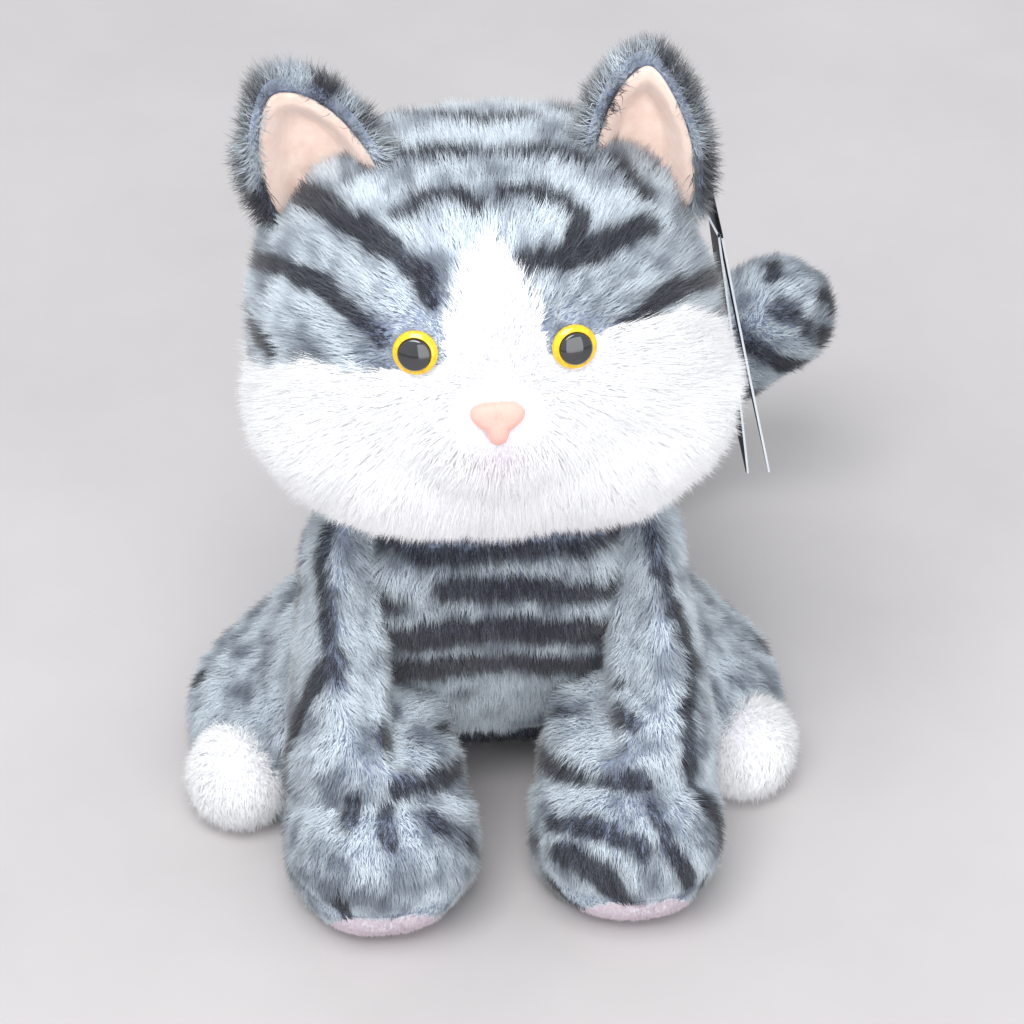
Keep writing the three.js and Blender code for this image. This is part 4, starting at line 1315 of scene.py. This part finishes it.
def build_nose():
    """A flocked pad, domed, with a crease down the middle and a stem behind."""
    edge = nose_outline()
    middle = np.array([0, 0.3])
    rings = []
    for share in (0.05, 0.2, 0.35, 0.5, 0.65, 0.78, 0.88, 0.95, 1.0):
        flat = middle + (edge - middle) * share
        crease = 0.55 * np.exp(-((flat[:, 0] / 0.5) ** 2)) * smooth(-1.5, 1.5, flat[:, 1])
        height = NOSE_DEPTH * (1 - share**4) ** 0.5 - crease * (1 - share**6)
        rings.append(np.c_[flat, np.maximum(height, 0)])
    rings.append(np.c_[middle + (edge - middle) * 0.96, np.full(len(edge), -0.8)])
    stem = 1.8 / np.linalg.norm(edge - middle, axis=1, keepdims=True)
    rings.append(np.c_[middle + (edge - middle) * stem, np.full(len(edge), -0.8)])
    rings.append(np.c_[middle + (edge - middle) * stem, np.full(len(edge), -10.0)])
    nose = new_object("nose_pad", *loft([ring * MM for ring in rings]))
    outward(nose)
    nose.data.shade_smooth()
    nose.matrix_world = frame_at(*nose_place())
    nose.data.materials.append(flock_material())
    stand_in(nose, "nose", "head")


# ----------------------------------------------------------------------- tag

TAG_CORNER = 5 * MM
TAG_THICKNESS = 0.6 * MM
# Paths in mm from the head's middle (X, Z): the bend, and each leaf from the top down.
TAG_BEND = np.array([63.6, 13])
INNER_PATH = [(55.3, 31), TAG_BEND + (-1.2, 2.6), TAG_BEND, TAG_BEND + (0.35, -2.6), (69.5, -29),
              (74.9, -72)]
OUTER_PATH = [TAG_BEND + (1.0, -0.4), TAG_BEND + (1.4, -3.0), (72.6, -29), (81.2, -72)]


def leaf(name, path, low_y, high_y, round_top):
    """A thin bent card along a path of (X, Z), with rounded corners and pale edges."""
    points = curve_through(np.array([(x, 0, z) for x, z in path]), 14)
    travel = np.r_[0, np.cumsum(np.linalg.norm(np.diff(points, axis=0), axis=1))]
    tangent = unit(np.gradient(points, axis=0))
    normal = np.stack([-tangent[:, 2], np.zeros(len(points)), tangent[:, 0]], 1)
    middle, half = (low_y + high_y) / 2, (high_y - low_y) / 2
    to_end = travel[-1] - travel
    to_start = travel if round_top else np.full(len(travel), TAG_CORNER)
    shares = np.linspace(-1, 1, 9)
    verts = []
    for k in range(len(points)):
        gap = min(to_end[k], to_start[k], TAG_CORNER)
        width = half - TAG_CORNER + math.sqrt(max(TAG_CORNER**2 - (TAG_CORNER - gap) ** 2, 0))
        for offset in (TAG_THICKNESS / 2, -TAG_THICKNESS / 2):
            for share in shares:
                verts.append(points[k] + normal[k] * offset + (0, middle + share * width, 0))
    row, step = len(shares), 2 * len(shares)
    faces, edges = [], []
    for k in range(len(points) - 1):
        a, b = k * step, (k + 1) * step
        for j in range(row - 1):
            faces.append((a + j, a + j + 1, b + j + 1, b + j))
            faces.append((a + row + j + 1, a + row + j, b + row + j, b + row + j + 1))
        edges.append((a, b, b + row, a + row))
        edges.append((a + row - 1, a + step - 1, b + step - 1, b + row - 1))
    for a in (0, (len(points) - 1) * step):
        for j in range(row - 1):
            edges.append((a + j, a + j + 1, a + row + j + 1, a + row + j))
    card = new_object(name, verts, faces + edges)
    for index, polygon in enumerate(card.data.polygons):
        polygon.material_index = 0 if index < len(faces) else 1
    return card


def build_tag():
    card_look, edge_look = card_material(), card_edge_material()
    for which, path, body in (("inner", INNER_PATH, "tag"), ("outer", OUTER_PATH, "tag_flap")):
        node = f"tag_{which}_leaf"
        low, high = box_of(node)
        places = [(x * MM + HEAD[0], z * MM + HEAD[2]) for x, z in path]
        card = leaf(f"tag_{which}_card", places, low[1], high[1], which == "inner")
        card.data.materials.append(card_look)
        card.data.materials.append(edge_look)
        stand_in(card, node, body)


# -------------------------------------------------------------- hidden pieces


HIDDEN_LOOKS = {
    "stuffing": plain_material("stuffing", srgb(226, 226, 220), srgb(250, 250, 246), 300, 1.0,
                               1.0 * MM),
    "washer": plain_material("washer_plastic", srgb(214, 214, 210), srgb(236, 236, 232), 800,
                             0.4, 0.02 * MM),
    "pellet_cloth": plain_material("pellet_cloth", srgb(214, 206, 186), srgb(236, 230, 214),
                                   1200, 0.9, 0.3 * MM),
    "tag_loop": plain_material("tag_plastic", srgb(226, 226, 228), srgb(244, 244, 246), 700,
                               0.3, 0.02 * MM),
}


def dress_cad_nodes():
    """Procedural looks for the CAD pieces that are shown as they are."""
    for name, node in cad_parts.items():
        for word, look in HIDDEN_LOOKS.items():
            if word in name:
                node.data.materials.clear()
                node.data.materials.append(look)


# --------------------------------------------------------------------- stage


FLOOR_SIZE = 20
LAMPS = (("key", (-0.3, -0.7, 1.55), 26, 1.0), ("fill", (0.4, -1.6, 0.55), 12, 1.4))
LAMP_AIM = Vector((0, 0, 0.12))
SENSOR, LENS = 36, 144.14  # mm
VIEW_ELEVATION, VIEW_AZIMUTH = 38, 5  # degrees
VIEW_DISTANCE = 1.106  # from the head's middle
VIEW_RIGHT, VIEW_DOWN = 0.0059, 0.0523  # how far the camera is moved across its own view


def build_stage():
    """Pale floor, soft light from above, and a long lens that looks down on the cat."""
    bpy.ops.mesh.primitive_plane_add(size=FLOOR_SIZE, location=(0, 0, 0))
    floor = bpy.context.object
    floor.name = "floor"
    floor.data.materials.append(plain_material("floor", srgb(176, 172, 172), srgb(184, 180, 180),
                                               8, 0.7, 0.01 * MM))

    world = bpy.data.worlds.new("studio")
    bpy.context.scene.world = world
    world.use_nodes = True
    background = world.node_tree.nodes["Background"]
    background.inputs["Color"].default_value = (0.92, 0.96, 1.0, 1)
    background.inputs["Strength"].default_value = 0.95

    for name, place, power, size in LAMPS:
        light = bpy.data.lights.new(name, "AREA")
        light.energy = power
        light.size = size
        lamp = bpy.data.objects.new(name, light)
        bpy.context.collection.objects.link(lamp)
        lamp.location = place
        aim = LAMP_AIM - Vector(place)
        lamp.rotation_euler = aim.to_track_quat("-Z", "Y").to_euler()

    elevation, azimuth = math.radians(VIEW_ELEVATION), math.radians(VIEW_AZIMUTH)
    forward = Vector((math.sin(azimuth) * math.cos(elevation),
                      math.cos(azimuth) * math.cos(elevation), -math.sin(elevation)))
    right = Vector((math.cos(azimuth), -math.sin(azimuth), 0))
    up = right.cross(forward)
    camera = bpy.data.cameras.new("camera")
    camera.sensor_width = SENSOR
    camera.lens = LENS
    eye = bpy.data.objects.new("camera", camera)
    bpy.context.collection.objects.link(eye)
    place = Vector(HEAD) - forward * VIEW_DISTANCE + right * VIEW_RIGHT - up * VIEW_DOWN
    turn = Matrix((right, up, -forward)).transposed().to_4x4()
    eye.matrix_world = Matrix.Translation(place) @ turn
    bpy.context.scene.camera = eye
    bpy.context.scene.view_settings.view_transform = "Standard"


build_stage()
dress_cad_nodes()
skins = {"head": head_skin(), "torso": torso_skin(), "tail": tail_skin()}
for side, sign in SIDES:
    skins[f"leg_{side}"] = front_leg_skin(side, sign)
    skins[f"haunch_{side}"] = haunch_skin(side, sign)
    skins[f"foot_{side}"] = foot_skin(side, sign)
trees = {name: surface_tree(skin) for name, skin in skins.items()}

build_fillings(skins)
build_head(skins["head"])
build_torso(skins["torso"], [tree for name, tree in trees.items() if name not in ("torso", "head")])
build_tail(skins["tail"])
for side, sign in SIDES:
    build_front_leg(side, skins[f"leg_{side}"], trees["torso"])
    build_hind_leg(side, skins[f"haunch_{side}"], skins[f"foot_{side}"], trees["torso"])
    build_ear(side, sign, trees["head"])
for skin in skins.values():
    bpy.data.objects.remove(skin)
build_eyes()
build_nose()
build_tag()
